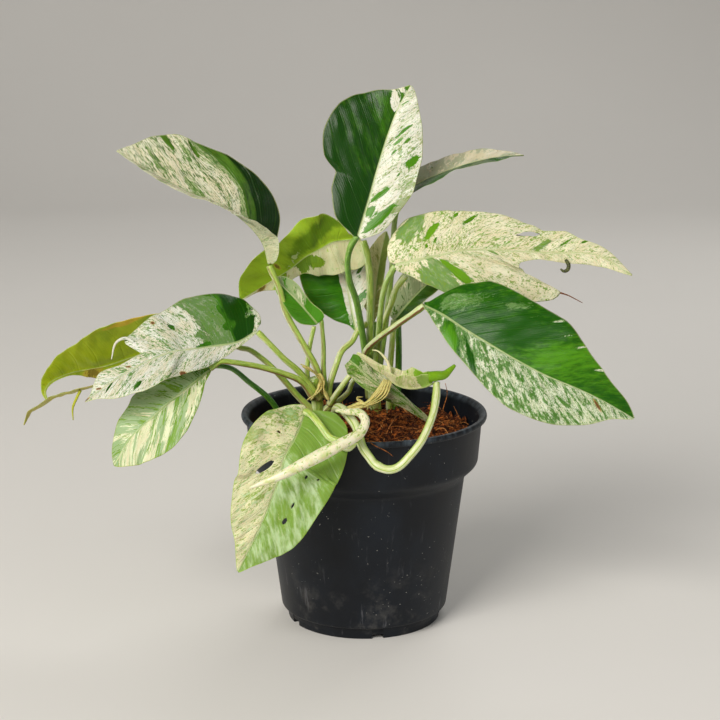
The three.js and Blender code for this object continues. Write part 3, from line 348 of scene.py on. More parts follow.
LEAF_LOOKS = {
    "leaf_top": {
        "lean": (42, 46),
        "green": (1.2, -0.5),
        "grey": [[0, 0.6, -0.45], [1, 0.6, -0.4]],
        "tone": [[0, -0.45, 0.25], [0.4, -0.3, 0.25], [0.8, -0.1, 0.3], [1, 0.1, 0.3]],
        "flecks": (0, 0.5), "fine": 1.3,
        "marks": [["green", 0.14, 0.62, 10, 1.8, 1.5], ["green", 0.15, 0.15, 3, 1.8, 1.4],
                  ["green", 0.25, 0.27, 5.5, 1.3, 1.4], ["green", 0.46, 0.78, 3.5, 1.6, 1.3],
                  ["green", 0.64, 0.5, 4, 0.9, 1.3], ["green", 0.57, 0.35, 2, 0.8, 1.2],
                  ["green", 0.57, 0.6, 1.5, 0.8, 1.2], ["green", 0.38, 0.55, 1.3, 0.8, 1.2],
                  ["green", 0.51, 0.3, 1.5, 0.7, 1.2], ["green", 0.85, 0.3, 2, 0.5, 1.2],
                  ["cream", 0.87, -0.5, 7, 4, 1.3], ["cream", 0.95, -0.6, 5, 3, 1.3],
                  ["cream", 0.8, -0.12, 4, 3, 1.4],
                  ["grey", 0.3, 0.8, 5, 2, 0.7], ["grey", 0.2, 0.85, 5, 2, 0.7]],
        "cream": "#e3e3d4", "warm": "#cfccb2", "wash": "#a3ae88", "green_light": "#4a8414",
        "green_dark": "#123a04", "fleck": "#7d9646", "pucker": 1,
    },
    "leaf_upper_right": {
        "lean": (0, 0),
        "green": [[0, -0.4, 1.4], [1, -0.45, 1.4]],
        "grey": [[0, 0.1, 0], [1, 0, -0.2]],
        "tone": [[0, -0.2, -0.5], [1, 0, -0.5]],
        "cream": "#cfc8aa", "wash": "#a3a888", "green_light": "#5c8428", "green_dark": "#215204",
        "under": "#a9ae88", "margin": "#86a04c",
    },
    "leaf_upper_left": {
        "lean": (20, 48), "drawn": 0.2, "fine": 1.7,
        "green": [[0, -0.35, 1.2], [0.33, -0.35, 1.1], [0.36, -0.35, -0.35], [1, -0.35, -0.45]],
        "grey": [[0, -0.2, 1], [0.35, -0.2, 1], [0.42, -0.2, -0.2], [1, -0.2, -0.4]],
        "tone": [[0, 0, -0.7], [0.27, 0, -0.7], [0.29, 0, 0], [0.37, 0, 0.1], [1, 0, 0.1]],
        "flecks": (0.2, 0.8),
        # The cream mark at t 0.5 is a painted highlight, a pale patch in the green.
        "marks": [["cream", 0.5, 0.42, 4, 1.5, 1.9], ["green", 0.82, 0.95, 5, 1.3, 1.3],
                  ["green", 0.7, 0.85, 4, 0.9, 1.3], ["grey", 0.68, 0.1, 5, 1.2, 1.3],
                  ["green", 0.42, -0.12, 2.2, 9, 1.3]],
        "cream": "#dad8be", "wash": "#94a670", "green_light": "#527c24", "green_dark": "#0b2703",
        "fleck": "#38601a",
        "under": "#c3cc9c",
    },
    "leaf_back_centre": {
        "lean": (20, 20), "fine": 1.5,
        "green": [[0, 0.9, -0.8], [0.68, 0.9, -0.7], [0.73, 0.9, 0.3], [0.8, 0.9, 0.3], [0.84, 0.9, -0.8],
                  [1, 0.9, -0.6]],
        "grey": (0.9, -0.8),
        "tone": (0.3, 0), "lumps": 1.6,
        # The first deep mark is painted shade along the middle of the cupped upper half, and the first
        # light mark is painted light coming through the blade nearer the base.
        "marks": [["deep", 0.34, -0.5, 5.5, 17, 1.1], ["light", 0.14, -0.5, 6, 5, 0.5],
                  ["grey", 0.58, -0.2, 2.4, 9, 1.25], ["green", 0.52, 0.25, 6, 11, 1.05],
                  ["deep", 0.52, 0.25, 6, 11, 0.4], ["green", 0.4, 0.45, 2, 3, 1.4],
                  ["green", 0.5, 0.15, 1.5, 5, 1.3], ["green", 0.56, 0.3, 5, 1.5, 1.3],
                  ["brown", 0.76, -0.3, 3, 1.4, 0.9], ["brown", 0.9, 0.2, 2.5, 1.5, 0.9]],
        "cream": "#ddd8b8", "wash": "#a9bb86", "green_light": "#9abf2c", "green_dark": "#44700c",
        "under": "#b5cf3f", "under_share": 0.15,
    },
    "leaf_centre": {
        "lean": (0, 35),
        "green": [[0, 1.2, -0.55], [1, 1.2, -0.5]],
        "grey": [[0, 1, -0.5], [1, 1, -0.45]],
        "tone": [[0, 0.2, 0.2], [1, 0, 0.2]],
        "flecks": (0, 0.3),
        "marks": [["cream", 0.5, -0.06, 2, 24, 2.2], ["green", 0.55, 0.7, 4, 1.2, 1.2],
                  ["green", 0.3, 0.6, 4, 1.4, 1.2]],
        "cream": "#dedfd2", "wash": "#9db18a", "green_light": "#3c7c10", "green_dark": "#184a05",
    },
    "leaf_centre_left": {
        "lean": (40, 40),
        "green": [[0, 1.2, 0.5], [0.22, 1.2, 0.4], [0.32, 1.2, -0.25], [1, 1.2, -0.3]],
        "grey": [[0, 1, 0.2], [1, 1, 0]],
        "tone": [[0, 0.3, 0.2], [1, 0, 0.2]],
        "cream": "#cfd0ac", "wash": "#93a873", "green_light": "#4a8a18", "green_dark": "#1c4c05",
    },
    "leaf_back_upright": {
        "lean": (40, 40),
        "green": [[0, -0.3, -0.5], [0.3, -0.1, -0.5], [0.5, 0.7, -0.5], [1, 0.8, -0.45]],
        "grey": (0.2, -0.3),
        "cream": "#dedbb0", "wash": "#8f964c", "green_light": "#7c9a34", "green_dark": "#4c6a1c",
        "under": "#b4b87c", "under_share": 0.2,
    },
    "leaf_right": {
        "lean": (50, 0), "fine": 1.3,
        "green": [[0, -0.5, -0.38], [1, -0.5, -0.5]],
        "grey": [[0, -0.5, -0.3], [0.2, -0.5, -0.3], [1, -0.45, -0.5]],
        "tone": [[0, 0, 0.2], [1, 0, 0]],
        "flecks": (0.65, 0.5),
        "marks": [["grey", 0.155, -0.8, 9, 3.6, 1.8], ["green", 0.215, -0.57, 6, 1.7, 1.4],
                  ["light", 0.215, -0.57, 7, 2.5, 0.8], ["green", 0.17, -0.25, 1.2, 0.9, 1.2],
                  ["green", 0.22, -0.35, 2.2, 0.8, 1.2], ["green", 0.38, -0.75, 4.5, 1, 1.3],
                  ["green", 0.33, -0.9, 1.8, 1.1, 1.2], ["green", 0.73, -0.5, 4, 0.7, 1.2],
                  ["green", 0.8, -0.9, 2.5, 0.8, 1.2], ["grey", 0.65, -0.35, 5, 2.5, 1],
                  ["green", 0.205, 0.34, 8.5, 1.9, 1.5], ["light", 0.205, 0.34, 9, 3, 0.8],
                  ["grey", 0.16, 0.35, 10, 2.6, 1.5], ["grey", 0.12, 0.75, 8, 4, 1.6],
                  ["grey", 0.47, 0.08, 4, 0.8, 1.4]],
        "cream": "#ece6c6", "wash": "#6f9450", "green_light": "#66991a", "green_dark": "#346a0c",
        "fleck": "#7b9834", "warm": "#d8cba0",
    },
    "leaf_lower_right": {
        "lean": (40, 28), "drawn": 0.42, "fine": 2.7,
        "green": [[0, 1.1, 0], [0.2, 1.1, -0.3], [0.85, 1, -0.32], [1, 1, -0.15]],
        "grey": [[0, 0.9, 0.3], [0.5, 0.9, -0.05], [1, 0.9, -0.1]],
        "tone": [[0, -0.2, -0.2], [0.3, -0.3, -0.3], [0.6, 0, -0.3], [1, -0.3, -0.3]],
        "flecks": (0.9, 0.85),
        "marks": [["grey", 0.2, -0.5, 16, 7, 1.5], ["grey", 0.36, -0.8, 11, 4, 1.4],
                  ["cream", 0.5, -0.93, 6, 1.5, 1.3], ["cream", 0.56, -0.85, 5, 1, 1.3],
                  ["cream", 0.63, -0.95, 5, 1.6, 1.3], ["cream", 0.74, -0.95, 4, 1.2, 1.3],
                  ["cream", 0.42, -0.75, 5, 1, 1.15], ["grey", 0.12, -0.45, 8, 4, 1.4],
                  ["light", 0.6, -0.5, 12, 7, 0.35], ["deep", 0.45, -0.4, 9, 6, 0.3],
                  ["green", 0.32, 0.72, 7, 1.4, 1.2],
                  ["deep", 0.3, 0.72, 7, 3, 0.9], ["green", 0.24, 0.95, 7, 3, 1.4],
                  ["light", 0.22, 0.95, 7, 4, 1.4], ["green", 0.2, 0.6, 7, 3, 1],
                  ["brown", 0.83, 0.35, 3, 1.2, 1]],
        "cream": "#dadec6", "warm": "#c3c99f", "wash": "#64894c", "green_light": "#4c8a12",
        "green_dark": "#194f04", "fleck": "#3d6a1c", "lumps": 0.7,
    },
    "leaf_back_right": {
        "lean": (30, 30),
        "green": [[0, -0.15, 1.1], [1, -0.1, 1.1]],
        "grey": (0.3, 1),
        "cream": "#c6c6a4", "wash": "#8c9a72", "green_light": "#466c18", "green_dark": "#1c420a",
    },
    "leaf_left": {
        "lean": (30, 15),
        "green": [[0, -0.4, -0.15], [0.02, -0.4, -0.15], [0.06, -0.42, 1.2], [0.15, -0.42, 1.2],
                  [0.165, -0.42, -0.35], [0.3, -0.38, -0.35], [1, -0.38, -0.36]],
        "grey": [[0, -0.3, 0], [0.15, -0.35, 0], [0.16, -0.35, 0.6], [0.25, -0.35, 0.5],
                 [0.33, -0.35, -0.35], [1, -0.3, -0.35]],
        "tone": [[0, 0, -0.5], [0.12, 0, -0.5], [0.15, 0, 0.05], [1, 0, 0]],
        "flecks": (0.55, 0.65), "fine": 1.5,
        "marks": [["green", 0.12, 0.97, 5, 1.5, 1.5], ["green", 0.33, 0.03, 1, 4, 1.2],
                  ["green", 0.43, 0.6, 2, 1.2, 1.3], ["green", 0.68, -0.75, 2, 1.3, 1.3],
                  ["green", 0.85, -0.35, 2.5, 0.8, 1.3], ["brown", 0.5, 0.85, 1, 0.8, 1.1],
                  ["brown", 0.9, 0.3, 1.2, 0.8, 1.1], ["brown", 0.74, 0.4, 1, 0.7, 1.1],
                  ["brown", 0.41, -0.97, 1.2, 2, 1.2], ["brown", 1, 0.2, 2, 3, 1]],
        "cream": "#d9d9cc", "wash": "#5f8048", "green_light": "#3c7414", "green_dark": "#123d04",
        "fleck": "#5d8434",
    },
    "leaf_far_left": {
        "lean": (0, 0),
        "green": [[0, 1.1, 1.0], [1, 1.0, 0.9]],
        "grey": (1, 1),
        "tone": [[0, 0.1, 0], [1, 0.2, 0.1]],
        "marks": [["yellow", 0.28, -0.95, 2.2, 15, 0.85], ["brown", 0.48, 0.5, 6, 5, 0.7]],
        "cream": "#c9a838", "wash": "#b9a832", "green_light": "#9cae1e", "green_dark": "#6a8a12",
        "under": "#a4b422", "under_share": 0.2,
    },
    "leaf_low_left": {
        "lean": (28, 30), "drawn": 0.14, "fine": 1.5,
        "green": [[0, 0.05, 0.1], [0.25, -0.05, -0.1], [0.45, -0.12, -0.1], [1, -0.2, -0.12]],
        "grey": [[0, 0.1, 0.6], [0.45, 0, 0.35], [1, 0, 0.1]],
        "tone": [[0, 0, -0.2], [0.25, 0, -0.1], [0.5, 0, 0], [1, 0, 0]],
        "flecks": (0.3, 0.3),
        "cream": "#dfe2bc", "wash": "#94ae7c", "green_light": "#7fa63a", "green_dark": "#3c6c20",
        "margin": "#a4bb38",
    },
    "leaf_left_edge_on": {
        "lean": (20, 20),
        "green": [[0, 0.3, 0.3], [1, 0, 0]],
        "grey": [[0, 0.6, 0.6], [1, 0.4, 0.4]],
        "cream": "#dccb72", "wash": "#c0a848", "green_light": "#b0b438", "green_dark": "#869a2c",
        "under": "#c4b850",
    },
    "leaf_front": {
        # On this leaf the pale sage light green, which the strong mottle spreads in patches along the side
        # veins, is painted sheen.
        "lean": (30, 38), "lumps": 2.2, "fine": 1.3, "pucker": 9, "mottle": 2.6,
        "green": [[0, 1.1, -0.1], [0.25, 1.1, -0.15], [0.35, 0.45, -0.38], [0.6, 0.4, -0.45],
                  [0.85, 0.5, -0.25], [1, 0.5, -0.25]],
        "grey": [[0, 1.1, -0.15], [0.3, 1, -0.3], [0.6, 0.8, -0.35], [1, 0.8, -0.25]],
        "tone": [[0, -0.7, -0.4], [0.24, -0.6, -0.4], [0.34, 0.05, -0.3], [0.8, 0, -0.2], [1, -0.2, -0.2]],
        "flecks": (0.1, 0.6),
        "marks": [["deep", 0.12, -0.4, 12, 7, 0.5], ["grey", 0.3, 0.85, 6, 3, 0.5]],
        "cream": "#dcdab0", "wash": "#a9b676", "green_light": "#b0c894", "green_dark": "#76983c",
        "fleck": "#7f9a3c",
        "margin": "#9cc23c", "under": "#a5b57c",
    },
    "leaf_marbled_young": {
        "lean": (70, 70), "drawn": 0.3, "fine": 2.2,
        "green": [[0, -0.1, -0.1], [1, -0.1, -0.12]],
        "grey": [[0, 0, -0.1], [1, 0.05, 0]],
        "flecks": (0.9, 0.9),
        "marks": [["green", 0.93, 0.4, 5, 3, 1]],
        "cream": "#dfdcb4", "wash": "#a4b270", "green_light": "#64942a", "green_dark": "#3a6a18",
        "fleck": "#5c842c",
        "under_share": 0.1,
    },
    "leaf_curled": {
        "lean": (20, 20),
        "green": [[0, 1.1, 1.1], [0.12, 0.8, 0.8], [0.2, -0.2, -0.2], [1, -0.35, -0.35]],
        "grey": [[0, 1, 1], [0.2, 0, 0], [1, -0.2, -0.2]],
        "flecks": (0.5, 0.5),
        "tone": [[0, 0, 0], [1, 0.1, 0.1]],
        "cream": "#dcd6ac", "wash": "#b4bc78", "green_light": "#78a41c", "green_dark": "#54820e",
        "under": "#ccd08c", "under_share": 0.2,
    },
}

# A stalk is a list of points from its foot to its end, its radius at the foot and at the end,
# and how dark and how red its skin is.
STALKS = {
    "stalks_left": [
        {"path": [[-24, 18, 84], [-23, 15, 100], [-24, 13, 112], [-25, 12, 117]], "r": [3.4, 2.6],
         "dark": 0.4, "red": 0.3},
        {"path": [[-21, 13, 108], [-23, 12, 121], [-29, 11, 133], [-38, 10, 150], [-41, 9, 162],
                  [-46, 8, 174]], "r": [1.7, 1.4], "dark": 0.1, "red": 0.6},
        {"path": [[-25, 13, 106], [-28, 13, 118], [-27, 13, 131], [-24.5, 13, 143]], "r": [1.5, 1],
         "dark": 0.3, "red": 0.2},
        {"path": [[-19, 13, 107], [-20, 14, 121], [-20, 15, 133], [-21, 15, 146]], "r": [1.5, 1],
         "dark": 0.45, "red": 0.6},
        {"path": [[-22, 11, 107], [-27, 8, 115], [-32, 6, 122], [-39, 3, 129], [-46, 1, 137],
                  [-51.5, 0, 143]], "r": [1.7, 1.4], "dark": 0.15, "red": 0.2},
        {"path": [[-26, 15, 100], [-33, 13, 108], [-42, 12, 119], [-49, 12, 126], [-56, 13, 131],
                  [-61, 14, 132], [-69, 16, 134.5]], "r": [1.7, 1.3], "dark": 0.3, "red": 0.6},
        {"path": [[-25, 10, 108], [-31, 6, 117], [-40, 2, 122], [-50, -2, 126], [-58, -6, 128.5],
                  [-63, -9, 130], [-69, -12, 131], [-73.5, -12, 127.5]], "r": [1.7, 1.3],
         "dark": 0.2, "red": 0.9},
        {"path": [[-18, 14, 106], [-17, 15, 113], [-14, 17, 122], [-11, 20, 129], [-6, 24, 133],
                  [-3, 26, 138], [1.5, 27.5, 141.5]], "r": [1.7, 1.4], "dark": 0.0, "red": 0.5},
        {"path": [[-17, 12, 104], [-12, 5, 113], [-8, 3.5, 119], [-5, 3, 122.5]], "r": [1.6, 1.4],
         "dark": 0.0, "red": 0.0},
        {"path": [[-15, 14, 103], [-8, 11, 110], [-6, 10, 115], [-3, 9.5, 119]], "r": [1.4, 1.1],
         "dark": 0.05, "red": 0.3},
        {"path": [[-24, 17, 96], [-16, 14, 103], [-13, 12, 106]], "r": [2.4, 1.4], "dark": 0.2, "red": 0.6},
    ],
    "stalk_side": [
        {"path": [[-37, 28, 84], [-43, 21, 98], [-48, 18, 106], [-57, 16.5, 114], [-66, 17, 121],
                  [-76, 17, 122], [-90, 17, 120], [-105, 16, 119]], "r": [1.6, 1.1],
         "dark": 1.0, "red": 0.0},
    ],
    "stalks_right": [
        {"path": [[6, 40, 84], [5, 37, 100], [3, 32, 116], [1, 28, 126]], "r": [3.8, 2.6],
         "dark": 0.35, "red": 0.1},
        {"path": [[3, 37, 101], [1, 30, 121], [0, 26, 131], [-2, 20, 145], [-4, 15, 156],
                  [-7, 10, 166], [-8, 6, 176], [-6.5, 3, 184], [-3.4, 0, 189.6]],
         "r": [1.9, 1.4], "dark": 0.75, "red": 0.0},
        {"path": [[5, 38, 100], [4, 34, 114], [3, 30, 130], [3, 27, 146], [3, 24, 161], [2, 22, 174],
                  [-0.5, 22, 184]], "r": [2, 1.7], "dark": 0.3, "red": 0.0},
        {"path": [[6, 37, 96], [6, 33, 108], [6, 27, 122], [7, 20, 133], [8, 10, 150], [10, 2, 165],
                  [14.6, -4.6, 176]], "r": [1.8, 1.4], "dark": 0.5, "red": 0.0},
        {"path": [[2, 31, 117], [1, 22, 128], [6, 13, 136], [14, 5, 144], [23, -2, 152],
                  [28.6, -4.8, 156.8]], "r": [1.8, 1.5], "dark": 0.3, "red": 1.0},
        {"path": [[6, 33, 110], [7, 29, 122], [8, 24, 136], [11, 19, 147], [14, 14, 156], [16, 10, 163],
                  [20, 6, 169]], "r": [1.7, 1.3], "dark": 0.15, "red": 0.0},
        {"path": [[5, 38, 104], [5, 41, 120], [5, 41, 139.5]], "r": [1.8, 1.3], "dark": 0.6, "red": 0.2},
        {"path": [[7, 39, 110], [11, 37, 140], [14, 33, 170], [15, 28, 192], [17.6, 24, 205.6]],
         "r": [1.7, 1.3], "dark": 0.5, "red": 0.0},
    ],
    "stalks_back": [
        {"path": [[14, 45, 84], [13, 42, 93], [13, 38, 102], [13, 34, 115], [14, 28, 130],
                  [14.8, 24.3, 143.6]], "r": [1.9, 1.4], "dark": 0.2, "red": 0.1},
        {"path": [[15.5, 45, 84], [16, 43, 92], [17, 41, 100], [17.5, 38, 114], [17.5, 34, 129],
                  [17, 32, 144]], "r": [2, 1.5], "dark": 0.9, "red": 0.1},
    ],
    "stem_loop": [
        {"path": [[-14, 2, 86], [-14, -12, 101], [-13, -25, 111], [-10, -38, 114], [-7, -49, 113.5],
                  [-4, -57, 111.5], [-2.5, -62, 108.5], [-1, -66, 104], [2, -68, 100], [5, -69, 96.5],
                  [10, -70, 94.5], [15, -70, 95.5], [20, -69, 100], [26, -65.5, 107], [31, -57, 116],
                  [33, -48.5, 123], [33.4, -43, 128]], "r": [2.6, 1.6], "dark": 0.05, "red": 0.0,
         "rings": [0.62]},
        {"path": [[-2.5, -62, 108], [-8, -66.5, 106], [-12, -67, 107], [-16, -65.5, 108.5], [-20, -62, 113],
                  [-24, -57, 116.4], [-27, -51, 116.6]], "r": [1.7, 1.6], "dark": 0.0, "red": 0.1},
        {"path": [[-3, -61, 108], [-3, -67, 107.5], [-4, -70.5, 108.5]], "r": [1.6, 1.2],
         "dark": 0.0, "red": 0.0},
        {"path": [[-3, -62, 107], [-7, -66, 103.5], [-10, -67.5, 104.5]], "r": [1.8, 1.6],
         "dark": 0.0, "red": 0.0},
    ],
}

# The young leaf still rolled into a spear, and the dry sheaths at the crowns
SPEAR_PATH = [[-13, -51, 117], [-7, -57, 118], [-2, -63, 119], [0.5, -68, 116.5], [-1.5, -72, 112.5],
              [-6, -75, 110], [-11, -77.5, 108], [-20, -81, 104], [-30, -84, 99.5], [-38, -85.9, 96],
              [-51, -87, 91]]
SPEAR_RADII = [0.7, 1.6, 1.9, 2.1, 2.6, 2.8, 2.9, 2.7, 2.2, 1.7, 0.5]
SHEATHS = {
    "sheath_left": [
        {"path": [[-31, 4.5, 126], [-26, 6.5, 123], [-22.5, 8.5, 119], [-21.5, 9.5, 115],
                  [-20.5, 9.5, 110]], "r": [0.5, 1.1]},
        {"path": [[-21.5, 9.2, 116], [-23.5, 6, 111], [-26, 4.5, 108]], "r": [0.8, 0.6]},
        {"path": [[-30, 4.4, 125], [-25, 6.2, 121.6], [-21, 8, 117.5], [-20.5, 8.6, 113.5]],
         "r": [0.8, 1.5]},
        {"path": [[-22, 7.5, 120.5], [-20, 8.5, 116.5], [-19.6, 9, 112], [-17.5, 8, 107]], "r": [1.3, 0.9]},
        {"path": [[-20.8, 8.4, 114], [-24, 6, 110.5], [-28, 4.2, 107.8]], "r": [1.1, 0.7]},
    ],
    "sheath_right": [
        {"path": [[10, -10.6, 122], [6, -11.6, 116], [1, -11.8, 111], [-4, -10.8, 109], [-10, -9, 106]],
         "r": [0.8, 0.8]},
        {"path": [[13, -10.2, 121], [10, -12.6, 114], [4, -12.8, 110], [0, -11.8, 110]], "r": [0.7, 0.9]},
        {"path": [[10, -10.6, 121.5], [11.5, -9.2, 120.5], [12.6, -9.6, 120]], "r": [0.9, 0.9]},
        {"path": [[11, -10.4, 121.6], [7.6, -12.2, 115.2], [2.6, -12.4, 110.6], [-2, -11.4, 109.2]],
         "r": [1.0, 0.8]},
        {"path": [[12, -10.3, 121.4], [9, -12.4, 114.6], [3.4, -12.6, 110.3], [0, -12, 108.4]],
         "r": [0.9, 0.9]},
        {"path": [[10, -10.6, 121.5], [6.6, -11.9, 115.4], [3, -12.2, 111.5], [1.5, -12.4, 107.2]],
         "r": [0.9, 0.6]},
        {"path": [[1, -11.6, 109.8], [-4, -10.8, 108.6], [-8, -9.6, 107.6], [-11, -8.6, 105.6]],
         "r": [1.6, 1.4]},
        {"path": [[0, -11, 110], [-3.5, -10.6, 112.6], [-0.5, -10.6, 113.4]], "r": [0.7, 0.4]},
    ],
}

# Dried wisps: their points, their radii, and whether they are red-brown (0) or nearly black (1)
WISPS = [
    {"path": [[95.6, 10.4, 160.2], [99.2, 10.5, 159], [102.6, 10.5, 157.3], [106.5, 10.5, 155.2]],
     "r": [0.5, 0.3, 0.25, 0.15], "dark": 0},
    {"path": [[97.3, 7, 177.2], [98.7, 6, 174.6], [98.1, 5.5, 172.4], [96.3, 5.5, 171.8], [94.8, 6, 172.8]],
     "r": [0.7, 1.0, 1.0, 0.8, 0.4], "dark": 1},
]
# Fibres that stand out of the coir or lie over the rim
FIBRES = [
    [[1, -38, 90], [0, -48, 101], [1, -58, 105.6], [4, -62.5, 104], [10, -63, 101], [13, -62.5, 98.5]],
    [[40, 30, 89], [40, 31, 96], [42, 31, 104], [41, 31, 110]],
    [[46, 22, 89], [47, 22, 95], [45, 23, 100]],
    [[8, -20, 90], [12, -5, 96], [16, 8, 99]],
    [[22, -18, 90], [26, -10, 96], [30, -6, 95]],
    [[-6, -24, 90], [2, -28, 96], [10, -26, 93]],
    [[30, 2, 90], [38, -4, 96], [42, -12, 93]],
    [[-30, -20, 90], [-36, -10, 96], [-44, -4, 92]],
    [[-30, 34, 90], [-22, 38, 97], [-12, 44, 94]],
    [[26, 36, 90], [20, 30, 97], [24, 22, 94]],
]

# Stage, in metres: the floor's half width, its front edge, where it bends up, the bend and the top
FLOOR_HALF_WIDTH = 7.0
FLOOR_FRONT = -6.0
FLOOR_BEND_AT = 1.4
FLOOR_BEND = 0.8
FLOOR_TOP = 6.0
# Each lamp's name, place, target, size, watts and colour
LAMPS = [
    ("key", (-0.9, -1.4, 1.15), (0, 0, 0.12), (1.1, 1.1), 41, (1.0, 0.96, 0.9)),
    ("fill", (1.4, -1.0, 0.7), (0, 0, 0.12), (1.0, 1.0), 4, (0.96, 0.97, 1.0)),
    ("back", (0.5, 1.1, 1.3), (0, 0, 0.15), (1.0, 0.7), 7, (1.0, 0.99, 0.97)),
]
ROOM_COLOUR = (0.8, 0.79, 0.77, 1)
ROOM_STRENGTH = 0.24
CAMERA_PLACE = (-0.002, -0.853, 0.326)
CAMERA_DOWN_DEGREES = 13
CAMERA_LENS = 90.25
SENSOR_WIDTH = 36


# Curves and values along them

def unit(vectors):
    """Each vector divided by its length."""
    return vectors / np.maximum(np.linalg.norm(vectors, axis=-1, keepdims=True), 1e-9)


def through(points, t):
    """Points at t, from 0 to 1, on the curve through the given points: in each span a cubic that
    leaves each point along the line between its two neighbours."""
    p = np.asarray(points, float)
    spans = len(p) - 1
    p = np.vstack([2 * p[0] - p[1], p, 2 * p[-1] - p[-2]])
    x = np.clip(np.asarray(t, float) * spans, 0, spans - 1e-9)
    i = x.astype(int)
    f = (x - i)[..., None]
    a, b, c, d = p[i], p[i + 1], p[i + 2], p[i + 3]
    return 0.5 * (2 * b + (c - a) * f + (2 * a - 5 * b + 4 * c - d) * f**2
                  + (3 * b - a - 3 * c + d) * f**3)


def keyed(keys, t):
    """Values at t in a straight line between neighbouring keys [t, value, ...]. Plain values hold
    for every t."""
    if not isinstance(keys[0], list):
        return np.stack([np.full(np.shape(t), float(value)) for value in keys], -1)
    k = np.asarray(keys, float)
    return np.stack([np.interp(t, k[:, 0], k[:, c]) for c in range(1, k.shape[1])], -1)


def half_width(keys, t):
    """Half width at t through keys [t, mm], on a cubic that never overshoots them."""
    k = np.asarray(keys, float)
    h = np.diff(k[:, 0])
    s = np.diff(k[:, 1]) / h
    slope = np.zeros(len(k))
    same = s[:-1] * s[1:] > 0
    both = np.where(same, s[:-1] + s[1:], 1)
    slope[1:-1] = np.where(same, 2 * s[:-1] * s[1:] / both, 0)
    slope[0], slope[-1] = s[0] * 1.4, s[-1] * 1.2
    x = np.clip(t, 0, 1)
    i = np.clip(np.searchsorted(k[:, 0], x, side="right") - 1, 0, len(h) - 1)
    f = (x - k[i, 0]) / h[i]
    w = (k[i, 1] * (2 * f**3 - 3 * f**2 + 1) + k[i + 1, 1] * (3 * f**2 - 2 * f**3)
         + h[i] * (slope[i] * (f**3 - 2 * f**2 + f) + slope[i + 1] * (f**3 - f**2)))
    return np.maximum(w, 0.2)


def by_half(keys, t, u):
    """Values at t through keys [t, left, right]: the left one where u is below 0, else the right."""
    both = keyed(keys, t)
    return np.where(u < 0, both[..., 0], both[..., 1])


def width_at(leaf, t, u):
    """Half width at t of the half that u lies on."""
    return np.where(u < 0, half_width(leaf["left"], t), half_width(leaf["right"], t))


def evenly(path, spacing):
    """Points along the curve through path, about spacing apart."""
    fine = through(path, np.linspace(0, 1, 40 * len(path)))
    run = np.concatenate([[0], np.cumsum(np.linalg.norm(np.diff(fine, axis=0), axis=1))])
    at = np.linspace(0, run[-1], max(int(run[-1] / spacing), 4) + 1)
    return np.stack([np.interp(at, run, fine[:, c]) for c in range(3)], -1), at


def soft_noise(x, y, seed, wavelength, waves=7):
    """A smooth random surface between about -1 and 1: the mean of sine waves in seeded directions."""
    rng = np.random.default_rng(seed)
    turn = rng.uniform(0, 2 * math.pi, waves)
    k = 2 * math.pi / (wavelength * rng.uniform(0.7, 1.4, waves))
    phase = rng.uniform(0, 2 * math.pi, waves)
    total = sum(np.sin(k[i] * (x * math.cos(turn[i]) + y * math.sin(turn[i])) + phase[i])
                for i in range(waves))
    return total / math.sqrt(waves)


# Shells: points, quads and triangles, with values kept at each point for the materials

def shell(points, quads, triangles=None, **values):
    """A surface as arrays: corner points, faces that index them, and a vector per point and value."""
    tri = np.zeros((0, 3), int) if triangles is None else np.asarray(triangles, int)
    return {"points": np.asarray(points, float), "quads": np.asarray(quads, int).reshape(-1, 4),
            "triangles": tri.reshape(-1, 3), "values": values}


def joined(shells):
    """One shell that holds all the given ones."""
    starts = np.cumsum([0] + [len(s["points"]) for s in shells[:-1]])
    names = shells[0]["values"]
    return shell(np.vstack([s["points"] for s in shells]),
                 np.vstack([s["quads"] + n for s, n in zip(shells, starts)]),
                 np.vstack([s["triangles"] + n for s, n in zip(shells, starts)]),
                 **{name: np.vstack([s["values"][name] for s in shells]) for name in names})


def ring_faces(rows, sides):
    """Faces of a closed surface made of rings, numbered ring by ring: quads between neighbouring rings
    and a fan to each of the two end points that follow the rings."""
    index = np.arange(rows * sides).reshape(rows, sides)
    ahead = np.roll(index, -1, axis=1)
    quads = np.stack([index[:-1], ahead[:-1], ahead[1:], index[1:]], -1)
    foot, tip = rows * sides, rows * sides + 1
    fans = np.vstack([np.stack([np.full(sides, foot), ahead[0], index[0]], -1),
                      np.stack([np.full(sides, tip), index[-1], ahead[-1]], -1)])
    return quads, fans


def make_piece(name, made, material, slot, *nodes):
    """A finished piece from a shell in millimetres, riding on the pot and standing for the nodes."""
    used = np.unique(np.concatenate([made["quads"].ravel(), made["triangles"].ravel()]))
    place = np.full(len(made["points"]), -1)
    place[used] = np.arange(len(used))
    quads, triangles = place[made["quads"]], place[made["triangles"]]
    mesh = bpy.data.meshes.new(name)
    mesh.vertices.add(len(used))
    mesh.vertices.foreach_set("co", (made["points"][used] * MM).astype(np.float32).ravel())
    mesh.loops.add(quads.size + triangles.size)
    mesh.loops.foreach_set("vertex_index", np.concatenate([quads.ravel(), triangles.ravel()]))
    mesh.polygons.add(len(quads) + len(triangles))
    starts = np.concatenate([4 * np.arange(len(quads)), quads.size + 3 * np.arange(len(triangles))])
    mesh.polygons.foreach_set("loop_start", starts)
    mesh.polygons.foreach_set("use_smooth", np.ones(len(starts), bool))
    for key, value in made["values"].items():
        layer = mesh.attributes.new(key, "FLOAT_VECTOR", "POINT")
        layer.data.foreach_set("vector", value[used].astype(np.float32).ravel())
    mesh.update(calc_edges=True)
    mesh.validate()
    mesh.materials.append(material)
    piece = bpy.data.objects.new(name, mesh)
    bpy.context.scene.collection.objects.link(piece)
    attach(piece, "root")
    if nodes:
        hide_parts(*nodes)


